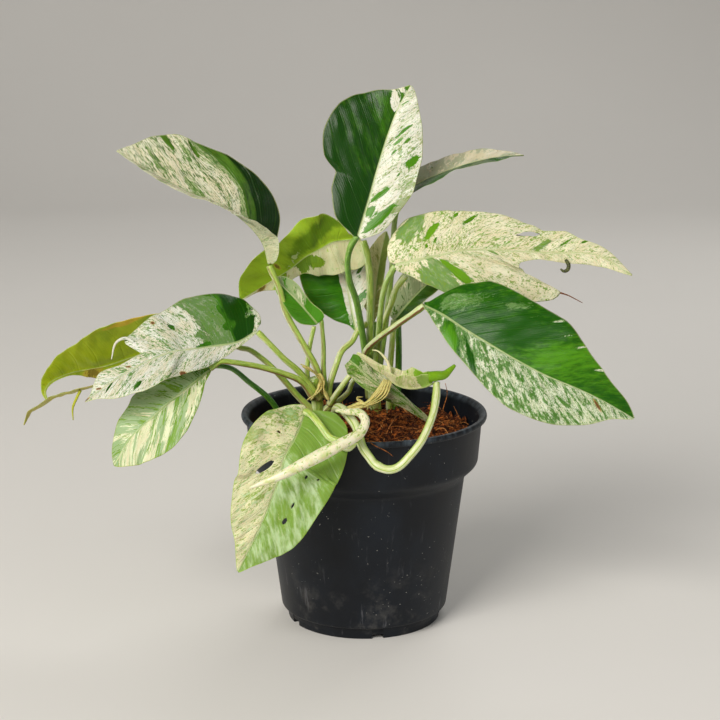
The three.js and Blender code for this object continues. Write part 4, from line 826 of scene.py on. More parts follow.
def tube(path, radii, sides=14, spacing=1.1, section=None, swell=None, **values):
    """A closed tube: a ring carried along the curve through path and kept square to it, with its
    radius running through the given radii. section(angle, share) and swell(share) scale it."""
    points, run = evenly(path, spacing)
    share = run / run[-1]
    along = unit(np.gradient(points, axis=0))
    across = np.empty_like(points)
    across[0] = unit(np.cross(along[0], [0.3, 0.9, 0.3]))
    for i in range(1, len(points)):
        across[i] = unit(across[i - 1] - along[i] * (across[i - 1] @ along[i]))
    other = np.cross(along, across)
    radius = np.interp(share, np.linspace(0, 1, len(radii)), radii)
    if swell is not None:
        radius = radius * swell(share)
    angle = np.linspace(0, 2 * math.pi, sides, endpoint=False)
    A, S = np.meshgrid(angle, share)
    R = radius[:, None] * (1 if section is None else section(A, S))
    ring = points[:, None] + R[..., None] * (across[:, None] * np.cos(A)[..., None]
                                             + other[:, None] * np.sin(A)[..., None])
    n = len(points)
    quads, fans = ring_faces(n, sides)
    ends = np.vstack([points[0], points[-1]])
    place = np.stack([np.broadcast_to(run[:, None], A.shape), A / (2 * math.pi), S], -1).reshape(-1, 3)
    place = np.vstack([place, [0, 0, 0], [run[-1], 0, 1]])
    constant = {k: np.tile(np.asarray(v, float), (n * sides + 2, 1)) for k, v in values.items()}
    return shell(np.vstack([ring.reshape(-1, 3), ends]), quads, fans, stalk_place=place, **constant)


# Leaf blades

def blade(leaf, t, u):
    """Points of a blade: from the rib at t, out across one half by the share |u| of its half width,
    swept forward with the side veins, lifted by the fold and the curl, and rippled at the edge."""
    step = 1e-3
    rib = through(leaf["rib"], t)
    behind, ahead = np.maximum(t - step, 0), np.minimum(t + step, 1)
    tangent = unit(through(leaf["rib"], ahead) - through(leaf["rib"], behind))
    face = keyed(leaf["face"], t)
    face = unit(face - tangent * np.sum(face * tangent, -1, keepdims=True))
    side = np.cross(tangent, face)
    a = np.abs(u)
    reach = a * width_at(leaf, t, u)
    sweep = np.radians(by_half(leaf["sweep"], t, u))
    rise = np.radians(by_half(leaf["fold"], t, u) + by_half(leaf["curl"], t, u) * a / 2)
    out = side * (np.sign(u) * np.cos(sweep))[..., None] + tangent * np.sin(sweep)[..., None]
    height, count, phase = leaf["wave"]
    ripple = height * a**2 * np.sin(2 * math.pi * (count * t + phase + 0.37 * (u > 0)))
    return (rib + out * (reach * np.cos(rise))[..., None]
            + face * (reach * np.sin(rise) + ripple)[..., None]), reach


def opened(leaf, hole, t, u, length):
    """Moves the grid round one hole: the border of a small block of cells goes out to the hole's
    oval, and the rings of points round it follow less and less. Returns the block's cells too."""
    t0, u0, long_axis, short_axis, turn = hole
    rows, columns = t.shape
    scale_u = width_at(leaf, np.array([t0]), u0)[0]
    i0 = int(np.argmin(np.abs(t[:, 0] - t0)))
    j0 = int(np.argmin(np.abs(u[0] - u0)))
    block, reach = (2, 6.0) if long_axis > LONG_HOLE else (1, 4.0)
    di, dj = np.meshgrid((np.arange(rows) - i0) / block, (np.arange(columns) - j0) / block, indexing="ij")
    ring = np.maximum(np.maximum(np.abs(di), np.abs(dj)), 1e-6)
    x, y = (u - u0) * scale_u, (t - t0) * length
    angle = np.arctan2(di, dj)
    c, s = math.cos(math.radians(turn)), math.sin(math.radians(turn))
    oval = 1 / np.hypot((np.cos(angle) * c + np.sin(angle) * s) * 2 / long_axis,
                        (np.sin(angle) * c - np.cos(angle) * s) * 2 / short_axis)
    follow = np.clip((reach - ring) / (reach - 1), 0, 1) * (ring > 0.99)
    x = x + (oval * np.cos(angle) - x / ring) * follow
    y = y + (oval * np.sin(angle) - y / ring) * follow
    return t0 + y / length, u0 + x / scale_u, (i0 - block, i0 + block, j0 - block, j0 + block)


MARK_EFFECTS = {
    "green": {"green": 1.0, "grey": 0.5}, "cream": {"green": -1.0, "grey": -0.8},
    "grey": {"green": -0.8, "grey": 1.0}, "light": {"tone": 1.0}, "deep": {"tone": -1.0},
    "brown": {"brown": 1.0}, "yellow": {"yellow": 1.0},
}


def painted(leaf, look, t, u, reach, length):
    """What each point leans to: its half's keys, read where the side vein through it leaves the rib,
    give or take a millimetre, and the marks on its half, ovals drawn out along the veins that fade
    outwards. Also the point's distance along its vein and across the veins."""
    lean = np.radians(by_half(look["lean"], t, u))
    foot = t - reach * np.tan(lean) / length
    astray = (PAINT_ASTRAY * soft_noise(t * length, reach, round(length), 11)
              * np.clip(reach / 4, 0, 1) / length)
    fields = {"brown": np.zeros_like(t), "yellow": np.zeros_like(t)}
    for name in ("green", "grey", "tone"):
        fields[name] = by_half(look[name], foot + astray, u)
    fields["flecks"] = by_half(look["flecks"], t, u)
    for kind, t0, u0, half_length, half_span, strength in look["marks"]:
        ahead = (t - t0) * length
        aside = reach - abs(u0) * width_at(leaf, np.array([t0]), u0)[0]
        along = ahead * np.sin(lean) + aside * np.cos(lean)
        over = ahead * np.cos(lean) - aside * np.sin(lean)
        oval = (along / half_length) ** 2 + (over / half_span) ** 2
        amount = strength * np.exp(-np.minimum(oval, 30)) * ((u < 0) == (u0 < 0))
        for name, share in MARK_EFFECTS[kind].items():
            fields[name] = fields[name] + share * amount
    along = t * length * np.sin(lean) + reach * np.cos(lean)
    over = t * length * np.cos(lean) - reach * np.sin(lean)
    return fields, along, over, foot * length


def leaf_shell(leaf, look, seed):
    """A thin closed blade. Both faces lie half a thickness from the blade's middle surface and meet
    at its edge. The side veins lie in shallow grooves, and the rib is a groove above and a ridge below."""
    length = evenly(leaf["rib"], 1.0)[1][-1]
    rows = int(np.clip(length / ROW_SPACING, FEWEST_ROWS, MOST_ROWS)) + 1
    s = np.linspace(0, 1, HALF_COLUMNS)
    half = 0.5 * s + 0.25 * (1 - np.cos(math.pi * s))
    across = np.concatenate([-half[:0:-1], half])
    t, u = np.meshgrid(np.linspace(0, 1, rows), across, indexing="ij")
    blocks = []
    for hole in leaf["holes"]:
        t, u, block = opened(leaf, hole, t, u, length)
        blocks.append(block)
    middle, reach = blade(leaf, t, u)
    normal = unit(np.cross(np.gradient(middle, axis=1), np.gradient(middle, axis=0)))
    a = np.abs(u)
    fields, along, over, foot = painted(leaf, look, t, u, reach, length)
    phase = foot / VEIN_SPACING + 0.4 * (u > 0) + 0.1 * np.sin(4 * a + seed)
    calm = np.clip(reach / 3, 0, 1) * np.clip((1 - a) * 5, 0, 1)
    relief = VEIN_RELIEF * (np.sqrt(np.sin(math.pi * phase) ** 2 + 0.02) - 0.6) * calm
    lumps = soft_noise(over, along * 0.4, seed, 14) + 0.5 * soft_noise(over, along * 0.5, seed + 40, 6)
    drift = SWELL_HEIGHT * look["lumps"] * lumps * np.clip(reach / 5, 0, 1) * np.sin(math.pi * t)
    middle = middle + normal * (relief + drift)[..., None]
    thick = BLADE_HALF * np.sqrt(np.clip(1 - a**6, 0, 1))
    groove = RIB_GROOVE * np.exp(-(reach / RIB_GROOVE_SPREAD) ** 2) * (1 - 0.5 * t)
    ridge = RIB_RIDGE * np.exp(-(reach / RIB_RIDGE_SPREAD) ** 2) * (1 - 0.8 * t)
    for i_low, i_high, j_low, j_high in blocks:
        thick[i_low:i_high + 1, j_low:j_high + 1] *= HOLE_LIP
    top = middle + normal * (thick - groove)[..., None]
    bottom = middle - normal * (thick + ridge)[..., None]
    across_mm = np.sign(u) * reach
    other_half = 10 * np.clip(across_mm, -1, 1)
    whole = width_at(leaf, t, u)
    none = np.zeros_like(t)
    fine = look["fine"]
    values = {
        "leaf_grain": np.stack([over * fine, along * fine * look["drawn"],
                                seed * 7.3 + other_half], -1),
        "leaf_place": np.stack([t, across_mm, phase], -1),
        "leaf_paint": np.stack([fields["green"], fields["grey"], fields["tone"]], -1),
        "leaf_edge": np.stack([none, whole - reach, fields["flecks"]], -1),
        "leaf_worn": np.stack([fields["brown"], fields["yellow"], none], -1),
    }
    return blade_skin(top, bottom, values, blocks)


def blade_skin(top, bottom, values, blocks):
    """Closes two faces of a grid that share their side edges, with strips at both ends and walls in
    the holes. The first value of leaf_edge is 1 on the underside."""
    rows, columns = top.shape[:2]
    upper = np.arange(rows * columns).reshape(rows, columns)
    lower = upper.copy()
    lower[:, 1:-1] = rows * columns + np.arange(rows * (columns - 2)).reshape(rows, columns - 2)
    kept = np.ones((rows - 1, columns - 1), bool)
    walls = []
    for i_low, i_high, j_low, j_high in blocks:
        kept[i_low:i_high, j_low:j_high] = False
        i, j = np.arange(i_low, i_high + 1), np.arange(j_low, j_high + 1)
        loop_i = np.concatenate([np.full(len(j), i_low), i[1:], np.full(len(j) - 1, i_high), i[-2::-1]])
        loop_j = np.concatenate([j, np.full(len(i) - 1, j_high), j[-2::-1], np.full(len(i) - 1, j_low)])
        a, b = upper[loop_i, loop_j], lower[loop_i, loop_j]
        walls.append(np.stack([a[:-1], a[1:], b[1:], b[:-1]], -1))
    faces = []
    for grid, turned in ((upper, False), (lower, True)):
        quad = np.stack([grid[:-1, :-1], grid[:-1, 1:], grid[1:, 1:], grid[1:, :-1]], -1)[kept]
        faces.append(quad[:, ::-1] if turned else quad)
    caps = []
    corners = []
    for row, turned in ((0, False), (rows - 1, True)):
        a, b = upper[row], lower[row]
        strip = np.stack([a[1:-2], b[1:-2], b[2:-1], a[2:-1]], -1)
        ends = np.array([[a[0], b[1], a[1]], [a[-2], b[-2], a[-1]]])
        caps.append(strip[:, ::-1] if turned else strip)
        corners.append(ends[:, ::-1] if turned else ends)
    both = {k: np.vstack([v.reshape(-1, 3), v[:, 1:-1].reshape(-1, 3)]) for k, v in values.items()}
    both["leaf_edge"][rows * columns:, 0] = 1
    points = np.vstack([top.reshape(-1, 3), bottom[:, 1:-1].reshape(-1, 3)])
    return shell(points, np.vstack(faces + caps + walls), np.vstack(corners), **both)


def spur_shell(spur, seed):
    """A thin tapering spike, with the values of a blade."""
    radius = spur["radius"]
    made = tube(spur["path"], [radius, radius * 0.8, radius * 0.3], sides=12, spacing=0.6)
    run = made["values"].pop("stalk_place")
    n = len(run)
    made["values"] = {
        "leaf_grain": np.stack([run[:, 0] * 0.3, run[:, 1] * 4, np.full(n, seed * 7.3)], -1),
        "leaf_place": np.stack([np.full(n, 0.8), np.full(n, 3.0), run[:, 0] * 0.1], -1),
        "leaf_paint": np.tile(np.array(spur["paint"], float), (n, 1)),
        "leaf_edge": np.tile([0.0, 5.0, 0.0], (n, 1)),
        "leaf_worn": np.zeros((n, 3)),
    }
    return made


# Materials

def shade(code):
    """Linear colour of a six-digit screen colour."""
    values = [int(code[i:i + 2], 16) / 255 for i in (1, 3, 5)]
    linear = [v / 12.92 if v <= 0.04045 else ((v + 0.055) / 1.055) ** 2.4 for v in values]
    return (*linear, 1.0)


class Finish:
    """A material's node tree, with short calls for the nodes that the finishes here are made of."""

    def __init__(self, name):
        self.material = bpy.data.materials.new(name)
        self.material.use_nodes = True
        self.tree = self.material.node_tree
        self.surface = self.tree.nodes["Principled BSDF"]

    def put(self, socket, value):
        """Links a socket, or sets a constant straight on it."""
        if isinstance(value, bpy.types.NodeSocket):
            self.tree.links.new(value, socket)
        else:
            socket.default_value = value

    def node(self, kind, inputs=None, **settings):
        made = self.tree.nodes.new(kind)
        for key, value in settings.items():
            setattr(made, key, value)
        for key, value in (inputs or {}).items():
            self.put(made.inputs[key], value)
        return made

    def value_at(self, name):
        """The three numbers kept at each point under this name."""
        made = self.node("ShaderNodeAttribute", attribute_name=name)
        return made.outputs["Vector"]

    def parts(self, vector):
        made = self.node("ShaderNodeSeparateXYZ", {0: vector})
        return made.outputs[0], made.outputs[1], made.outputs[2]

    def place(self):
        """Each point's place on its piece, in metres."""
        return self.node("ShaderNodeTexCoord").outputs["Object"]

    def maths(self, operation, a, b=0.0, c=0.0):
        made = self.node("ShaderNodeMath", {0: a, 1: b, 2: c}, operation=operation)
        return made.outputs[0]

    def plus(self, a, b):
        return self.maths("ADD", a, b)

    def times(self, a, b):
        return self.maths("MULTIPLY", a, b)

    def times_plus(self, a, b, c):
        return self.maths("MULTIPLY_ADD", a, b, c)

    def wound(self, run, run_scale, around, turn_scale, third):
        """Grain of a round piece: the run along it and the turn round it, each at its own scale."""
        made = self.node("ShaderNodeCombineXYZ", {0: self.times(run, run_scale),
                                                  1: self.times(around, turn_scale), 2: third})
        return made.outputs[0]

    def noise(self, vector, scale, detail=2.0, roughness=0.5):
        made = self.node("ShaderNodeTexNoise", {"Vector": vector, "Scale": scale, "Detail": detail,
                                                "Roughness": roughness})
        return made.outputs["Fac"]

    def stretched(self, vector, scale):
        made = self.node("ShaderNodeMapping", {"Vector": vector, "Scale": scale})
        return made.outputs[0]

    def step(self, value, low, high):
        """0 below low, 1 above high, and smooth between them."""
        made = self.node("ShaderNodeMapRange", {"Value": value, "From Min": low, "From Max": high},
                         interpolation_type="SMOOTHSTEP")
        return made.outputs[0]

    def mixed(self, share, a, b):
        made = self.node("ShaderNodeMix", {0: share, 6: a, 7: b}, data_type="RGBA")
        return made.outputs[2]

    def laid(self, colour, share, strength, code):
        """A screen colour laid over the colour by its share times its strength."""
        return self.mixed(self.times(share, strength), colour, shade(code))

    def bump(self, height, distance, strength=1.0):
        made = self.node("ShaderNodeBump", {"Height": height, "Distance": distance, "Strength": strength})
        self.tree.links.new(made.outputs[0], self.surface.inputs["Normal"])

    def finish(self, colour, roughness, **constants):
        """Gives the surface its colour, roughness and constants, and returns the material."""
        self.put(self.surface.inputs["Base Color"], colour)
        self.put(self.surface.inputs["Roughness"], roughness)
        for key, value in constants.items():
            self.surface.inputs[key.replace("_", " ")].default_value = value
        return self.material


def leaf_material(name, look):
    """Marbled leaf skin: cream, with a grey-green wash and solid green over it wherever the leaf's own
    leaning and three sizes of grain, drawn out along the side veins, add up to more than 0. Flecks,
    pale veins, a thin pale margin and dead spots lie over them."""
    f = Finish(name)
    grain = f.value_at("leaf_grain")
    t, across, phase = f.parts(f.value_at("leaf_place"))
    green, grey, tone = f.parts(f.value_at("leaf_paint"))
    under, from_edge, flecks = f.parts(f.value_at("leaf_edge"))
    brown, yellow = f.parts(f.value_at("leaf_worn"))[:2]
    blotch = f.maths("SUBTRACT", f.noise(grain, 0.16, 3.0, 0.55), 0.5)
    streak = f.maths("SUBTRACT", f.noise(grain, 0.55, 3.0, 0.65), 0.5)
    speck = f.maths("SUBTRACT", f.noise(grain, 1.6, 4.0, 0.7), 0.5)
    broken = f.times_plus(blotch, 1.2, f.times(streak, 1.4))
    broken = f.times_plus(speck, 0.9, broken)
    green_share = f.step(f.plus(green, broken), -0.03, 0.04)
    wash_grain = f.times_plus(streak, -1.3, f.times(blotch, 2.0))
    wash_share = f.step(f.plus(grey, wash_grain), -0.04, 0.1)
    often = f.times_plus(flecks, 0.1, f.times(blotch, 0.25))
    coarse = f.step(f.plus(f.noise(grain, 0.95, 4.0, 0.7), often), 0.6, 0.64)
    dots = f.step(f.plus(f.noise(grain, 2.4, 2.0, 0.6), often), 0.64, 0.69)
    fleck_share = f.times(f.maths("MAXIMUM", coarse, dots), 0.9)
    mottle = f.times_plus(blotch, 1.0, f.times(streak, 0.5))
    # Lightens and darkens the solid green: the leaf's own tone, and where a leaf's look says so, painted
    # sheen and shade.
    light = f.times_plus(mottle, look["mottle"], tone)
    vein = f.step(f.maths("PINGPONG", phase, 0.5), 0.06, 0.0)
    fine_vein = f.step(f.maths("PINGPONG", f.times(phase, 6.0), 0.5), 0.25, 0.0)
    solid = f.mixed(f.step(light, -0.35, 0.35), shade(look["green_dark"]), shade(look["green_light"]))
    solid = f.mixed(f.times_plus(fine_vein, 0.05, f.times(vein, 0.09)), solid,
                    shade(look["green_light"]))
    cream = f.mixed(f.times(f.step(f.noise(grain, 0.3, 3.0, 0.6), 0.45, 0.7), 0.3),
                    shade(look["cream"]), shade(look["wash"]))
    cream = f.mixed(f.times(f.step(f.noise(grain, 0.22, 2.0), 0.42, 0.62), 0.45), cream,
                    shade(look["warm"]))
    cream = f.mixed(f.times(fine_vein, 0.08), cream, shade(look["wash"]))
    wash = f.mixed(f.step(streak, -0.05, 0.2), shade(look["wash"]), cream)
    wash = f.mixed(0.7, wash, shade(look["wash"]))
    colour = f.mixed(wash_share, cream, wash)
    spot = f.mixed(f.step(streak, -0.02, 0.08), shade(look.get("fleck", look["wash"])),
                   shade(look["green_light"]))
    colour = f.mixed(fleck_share, colour, spot)
    colour = f.mixed(green_share, colour, solid)
    rib_half = f.times_plus(t, -0.5, 0.8)
    rib = f.step(f.maths("DIVIDE", f.maths("ABSOLUTE", across), rib_half), 1.0, 0.6)
    colour = f.laid(colour, rib, 0.6, look["rib"])
    colour = f.laid(colour, f.step(from_edge, 0.55, 0.2), 0.5, look["margin"])
    aged = f.step(f.times_plus(blotch, 0.9, yellow), 0.3, 0.7)
    colour = f.laid(colour, aged, 0.85, YELLOWED)
    dead = f.times_plus(speck, 0.8, f.times_plus(streak, 0.4, brown))
    dry = f.step(dead, 0.25, 0.45)
    colour = f.laid(colour, dry, 0.7, DRY)
    colour = f.laid(colour, f.step(dead, 0.5, 0.62), 0.9, DEAD)
    colour = f.laid(colour, under, look["under_share"], look["under"])
    gloss = f.times_plus(green_share, -0.07, 0.33)
    gloss = f.times_plus(under, 0.12, gloss)
    gloss = f.times_plus(dry, 0.3, gloss)
    relief = f.times_plus(fine_vein, -0.25, f.times(vein, -1.0))
    relief = f.times_plus(f.noise(grain, 0.18, 2.0), look["pucker"], relief)
    f.bump(f.times_plus(speck, 0.7, relief), 0.0001)
    return f.finish(colour, gloss, Subsurface_Weight=0.06, Subsurface_Scale=0.002,
                    Specular_IOR_Level=0.2)


def stalk_material():
    """Leaf stalk skin: one flank pale as a painted highlight and the other green as its painted shaded
    side, both darker on a dark stalk, with fine lengthwise lines, pale flecks, and red-brown lines where
    the flanks meet."""
    f = Finish("stalk_skin")
    run, around, share = f.parts(f.value_at("stalk_place"))
    dark, red, seed = f.parts(f.value_at("stalk_look"))
    grain = f.wound(run, 0.1, around, 9.0, seed)
    lines = f.noise(grain, 2.2, 3.0, 0.6)
    flecks = f.noise(grain, 6.0, 3.0, 0.7)
    flank = f.maths("PINGPONG", f.plus(around, f.times_plus(lines, 0.16, -0.08)), 0.5)
    # Painted light: the pale flank is a painted highlight, the green flank painted shade.
    shaded_flank = f.step(flank, 0.14, 0.32)
    lined = f.step(lines, 0.4, 0.62)
    pale = f.mixed(shaded_flank, f.mixed(lined, shade("#dfe4bc"), shade("#c2d082")),
                   f.mixed(lined, shade("#b4c85c"), shade("#88aa38")))
    deep = f.mixed(shaded_flank, f.mixed(lined, shade("#86b440"), shade("#5f9628")),
                   f.mixed(lined, shade("#44801e"), shade("#2a5f12")))
    colour = f.mixed(f.step(dark, 0.1, 0.95), pale, deep)
    colour = f.laid(colour, f.step(flecks, 0.56, 0.7), 0.35, "#e3e6bd")
    stripe = f.times(f.step(f.maths("ABSOLUTE", f.maths("SUBTRACT", flank, 0.24)), 0.085, 0.03), red)
    broken = f.step(f.plus(stripe, f.times_plus(flecks, 1.2, -0.6)), 0.3, 0.6)
    colour = f.laid(colour, f.times(broken, stripe), 0.85, "#7a3a2c")
    colour = f.laid(colour, f.step(share, 0.12, 0.0), 0.5, "#b8a46a")
    f.bump(lines, 0.0002, 0.7)
    return f.finish(colour, f.times_plus(lines, 0.15, 0.2), Subsurface_Weight=0.1,
                    Subsurface_Scale=0.002)


def sheath_material():
    """Dry papery sheath: straw yellow with darker lengthwise fibres and brown ends."""
    f = Finish("dry_sheath")
    run, around, share = f.parts(f.value_at("stalk_place"))
    grain = f.wound(run, 0.15, around, 8.0, share)
    fibres = f.noise(grain, 3.0, 4.0, 0.7)
    colour = f.mixed(f.step(fibres, 0.4, 0.65), shade("#e2d98a"), shade("#b39b3f"))
    colour = f.mixed(f.step(f.noise(grain, 1.1, 3.0), 0.55, 0.75), colour, shade("#8a6a34"))
    f.bump(fibres, 0.0003)
    return f.finish(colour, 0.65, Subsurface_Weight=0.1, Subsurface_Scale=0.001)


def spear_material():
    """Rolled young leaf: pale cream with lime flecks that wind round it."""
    f = Finish("rolled_leaf")
    run, around, share = f.parts(f.value_at("stalk_place"))
    turned = f.plus(around, f.times(run, 0.012))
    grain = f.wound(run, 0.16, turned, 3.0, share)
    flecks = f.plus(f.noise(grain, 3.2, 3.0, 0.65), f.times_plus(share, -0.12, 0.03))
    wash = f.noise(grain, 1.2, 3.0, 0.5)
    colour = f.mixed(f.step(wash, 0.45, 0.66), shade("#e8e4c4"), shade("#ccd292"))
    colour = f.laid(colour, f.step(flecks, 0.53, 0.58), 0.85, "#8fb03c")
    f.bump(f.noise(grain, 5.0, 3.0), 0.0002, 0.5)
    return f.finish(colour, 0.36, Subsurface_Weight=0.15, Subsurface_Scale=0.002)


def wisp_material():
    """Dead leaf tissue, from red-brown threads to an almost black curl."""
    f = Finish("dead_wisp")
    run = f.parts(f.value_at("stalk_place"))[0]
    dark, seed = f.parts(f.value_at("wisp_look"))[:2]
    grain = f.wound(run, 0.6, 0.0, 0.0, seed)
    mottle = f.noise(grain, 2.0, 3.0, 0.6)
    pale = f.mixed(f.step(mottle, 0.4, 0.6), shade("#8a5a34"), shade("#5c2f20"))
    deep = f.mixed(f.step(mottle, 0.4, 0.6), shade("#5a6020"), shade("#1e220c"))
    f.bump(mottle, 0.0002)
    return f.finish(f.mixed(dark, pale, deep), 0.6)


def pot_material():
    """Black blown plastic: a fine satin grain, faint upright scuffs, dust on the lower wall and the groove,
    white specks, and a blue-grey band along the top of the rim that is partly wear and partly a painted
    highlight."""
    f = Finish("black_plastic")
    place = f.place()
    height = f.times(f.parts(place)[2], 1 / MM)
    scuffs = f.noise(f.stretched(place, (260.0, 260.0, 26.0)), 1.0, 4.0, 0.7)
    patches = f.noise(f.stretched(place, (38.0, 38.0, 26.0)), 1.0, 3.0, 0.6)
    specks = f.noise(place, 900.0, 2.0, 0.5)
    low = f.step(height, DUSTY_UP_TO, FLOOR)
    colour = f.mixed(f.step(patches, 0.35, 0.7), shade("#0c1016"), shade("#141a22"))
    scuffed = f.times(f.step(scuffs, 0.6, 0.78), f.times_plus(low, 0.3, 0.1))
    colour = f.mixed(scuffed, colour, shade("#8d8d92"))
    dusty = f.times(f.step(f.noise(place, 60.0, 4.0, 0.7), 0.5, 0.72), low)
    colour = f.laid(colour, dusty, 0.3, "#77746f")
    dots = f.times(f.step(specks, 0.725, 0.75), f.step(patches, 0.46, 0.6))
    colour = f.laid(colour, dots, 0.75, "#c9c6bf")
    # Partly wear, partly a painted blue-grey highlight along the top of the rim.
    rim_wear_and_highlight = f.times(f.step(height, LIP_FROM, LIP_TO), f.step(scuffs, 0.36, 0.66))
    colour = f.laid(colour, rim_wear_and_highlight, 0.45, "#56626c")
    roughness = f.times_plus(patches, 0.25, 0.34)
    roughness = f.plus(roughness, f.times(dusty, 0.25))
    f.bump(f.times_plus(scuffs, 0.35, f.noise(place, 2600.0, 2.0)), 0.00006, 0.6)
    return f.finish(colour, roughness, Specular_IOR_Level=0.25)


def coir_material():
    """Coir: red-brown fibre and crumb, from nearly black painted shade in its low places to orange-brown
    strands.
    """
    f = Finish("coir")
    tone, shade_in_hollows = f.parts(f.value_at("coir_look"))[:2]
    place = f.place()
    fine = f.noise(place, 1500.0, 4.0, 0.75)
    wide = f.noise(place, 160.0, 3.0, 0.6)
    clump = f.noise(place, 430.0, 3.0, 0.65)
    colour = f.mixed(f.step(f.plus(fine, f.times_plus(tone, 0.5, -0.25)), 0.35, 0.7),
                     shade("#401b0b"), shade("#c47435"))
    colour = f.mixed(f.step(wide, 0.48, 0.72), colour, shade("#5c2810"))
    colour = f.laid(colour, f.step(clump, 0.52, 0.42), 0.85, "#2b1207")
    colour = f.laid(colour, f.step(clump, 0.54, 0.62), 0.75, "#c46c2c")
    colour = f.mixed(f.step(tone, 0.75, 1.0), colour, shade("#c98a50"))
    # Painted shade, nearly black, where the crumb lies low.
    colour = f.mixed(f.step(shade_in_hollows, 0.35, 0.95), colour, shade("#160a05"))
    f.bump(fine, 0.0005, 0.9)
    return f.finish(colour, 0.9, Specular_IOR_Level=0.2)


def floor_material():
    """Pale matt sheet, hardly mottled."""
    f = Finish("pale_floor")
    place = f.place()
    colour = f.mixed(f.noise(place, 3.0, 3.0), shade("#dcdad6"), shade("#e2e0dc"))
    return f.finish(colour, 0.8, Specular_IOR_Level=0.2)


# Pot and coir

def rounded(corners, steps=5):
    """A profile through corners [radius, height, fillet]: each corner is an arc that touches both
    of its sides, worked out as a quadratic between the two touching points."""
    points = [corners[0][:2]]
    for before, here, after in zip(corners, corners[1:], corners[2:]):
        p, a, b = (np.array(c[:2], float) for c in (here, before, after))
        to_a, to_b = a - p, b - p
        cut = min(here[2], 0.45 * np.linalg.norm(to_a), 0.45 * np.linalg.norm(to_b))
        start = p + to_a / np.linalg.norm(to_a) * cut
        end = p + to_b / np.linalg.norm(to_b) * cut
        s = np.linspace(0, 1, steps)[:, None]
        points.extend((start * (1 - s) ** 2 + 2 * p * s * (1 - s) + end * s**2).tolist())
    points.append(corners[-1][:2])
    return np.array(points, float)


def filled_in(profile, longest):
    """The profile with points added so that no straight run is longer than the given length."""
    counts = np.maximum(np.ceil(np.linalg.norm(np.diff(profile, axis=0), axis=1) / longest), 1).astype(int)
    runs = [a + (b - a) * np.linspace(0, 1, n, endpoint=False)[:, None]
            for a, b, n in zip(profile[:-1], profile[1:], counts)]
    return np.vstack(runs + [profile[-1:]])


def turned(profile, angles, shape=None):
    """A closed surface: a profile from the axis round to the axis, turned about Z. shape(r, angle, z)
    may move its points."""
    r, z = profile[1:-1, 0], profile[1:-1, 1]
    R, A = np.meshgrid(r, angles, indexing="ij")
    Z = np.broadcast_to(z[:, None], R.shape)
    if shape is not None:
        R, A, Z = shape(R, A, Z)
    rows, columns = R.shape
    quads, fans = ring_faces(rows, columns)
    points = np.stack([R * np.cos(A), R * np.sin(A), Z], -1).reshape(-1, 3)
    poles = [[0, 0, profile[0, 1]], [0, 0, profile[-1, 1]]]
    return shell(np.vstack([points, poles]), quads, fans)


def pot_shell():
    """The pot's profile turned about Z, with its foot drawn up and in at each drainage notch."""
    outside = [
        [0, 0, 0], [FOOT_RADIUS, 0, 0.6], [FOOT_RADIUS + 0.5, BODY_FOOT_Z - 0.8, 0.3],
        [BODY_FOOT_RADIUS, BODY_FOOT_Z, 1.2], [BODY_TOP_RADIUS, BODY_TOP_Z, 1.6],
        [COLLAR_FOOT_RADIUS, COLLAR_FOOT_Z, 1.8], [COLLAR_RADIUS, POT_HEIGHT - 3, 0.4],
        [RIM_RADIUS - 0.4, POT_HEIGHT - 2.8, 0.6], [RIM_RADIUS, POT_HEIGHT - 1.5, 0.6],
        [RIM_RADIUS - 0.6, POT_HEIGHT, 0.7], [COLLAR_RADIUS + 0.2, POT_HEIGHT, 0.7],
    ]
    inside = [
        [COLLAR_RADIUS - WALL, POT_HEIGHT - 2, 0.8], [COLLAR_FOOT_RADIUS - WALL, COLLAR_FOOT_Z + 0.5, 1],
        [BODY_TOP_RADIUS - WALL, BODY_TOP_Z + 0.5, 1], [BODY_FOOT_RADIUS - WALL, BODY_FOOT_Z + 2, 1],
        [FOOT_RADIUS, FLOOR, 0.5], [0, FLOOR, 0],
    ]
    profile = filled_in(rounded(outside + inside), POT_STEP)
    notches = np.radians(NOTCH_FIRST_DEGREES + 360 / NOTCH_COUNT * np.arange(NOTCH_COUNT))
    half = NOTCH_WIDTH / 2 / FOOT_RADIUS
    edge = NOTCH_EDGE / FOOT_RADIUS
    even = np.linspace(-math.pi, math.pi, POT_SIDES, endpoint=False)
    offsets = np.array([-half - edge, -half + edge, half - edge, half + edge])
    extra = (notches[:, None] + offsets).ravel()
    extra = (extra + math.pi) % (2 * math.pi) - math.pi
    away = np.abs((even[:, None] - extra + math.pi) % (2 * math.pi) - math.pi).min(1) > 0.004
    angles = np.sort(np.concatenate([even[away], extra]))

    def notched(R, A, Z):
        off = np.abs((A[..., None] - notches + math.pi) % (2 * math.pi) - math.pi).min(-1)
        inside_notch = (off < half) & (R > FOOT_RADIUS - NOTCH_DEPTH) & (Z < NOTCH_HEIGHT) & (R < FOOT_ONLY)
        on_floor = inside_notch & (Z > FLOOR - 0.05) & (R < FOOT_RADIUS + 0.05)
        return R, A, np.where(inside_notch & ~on_floor, NOTCH_HEIGHT, Z)

    return turned(profile, angles, notched)


def coir_height(x, y):
    """Height of the coir: a low mound with lumps on waves of several lengths."""
    mound = 1.5 * np.cos(math.pi * np.hypot(x, y) / 110)
    lumps = (np.sin(0.19 * x + 1.3) * np.cos(0.23 * y - 0.6) + 0.6 * np.sin(0.41 * x - 0.33 * y)
             + 0.4 * np.cos(0.57 * x + 0.49 * y + 2))
    return SOIL_Z + mound + SOIL_BUMP * lumps


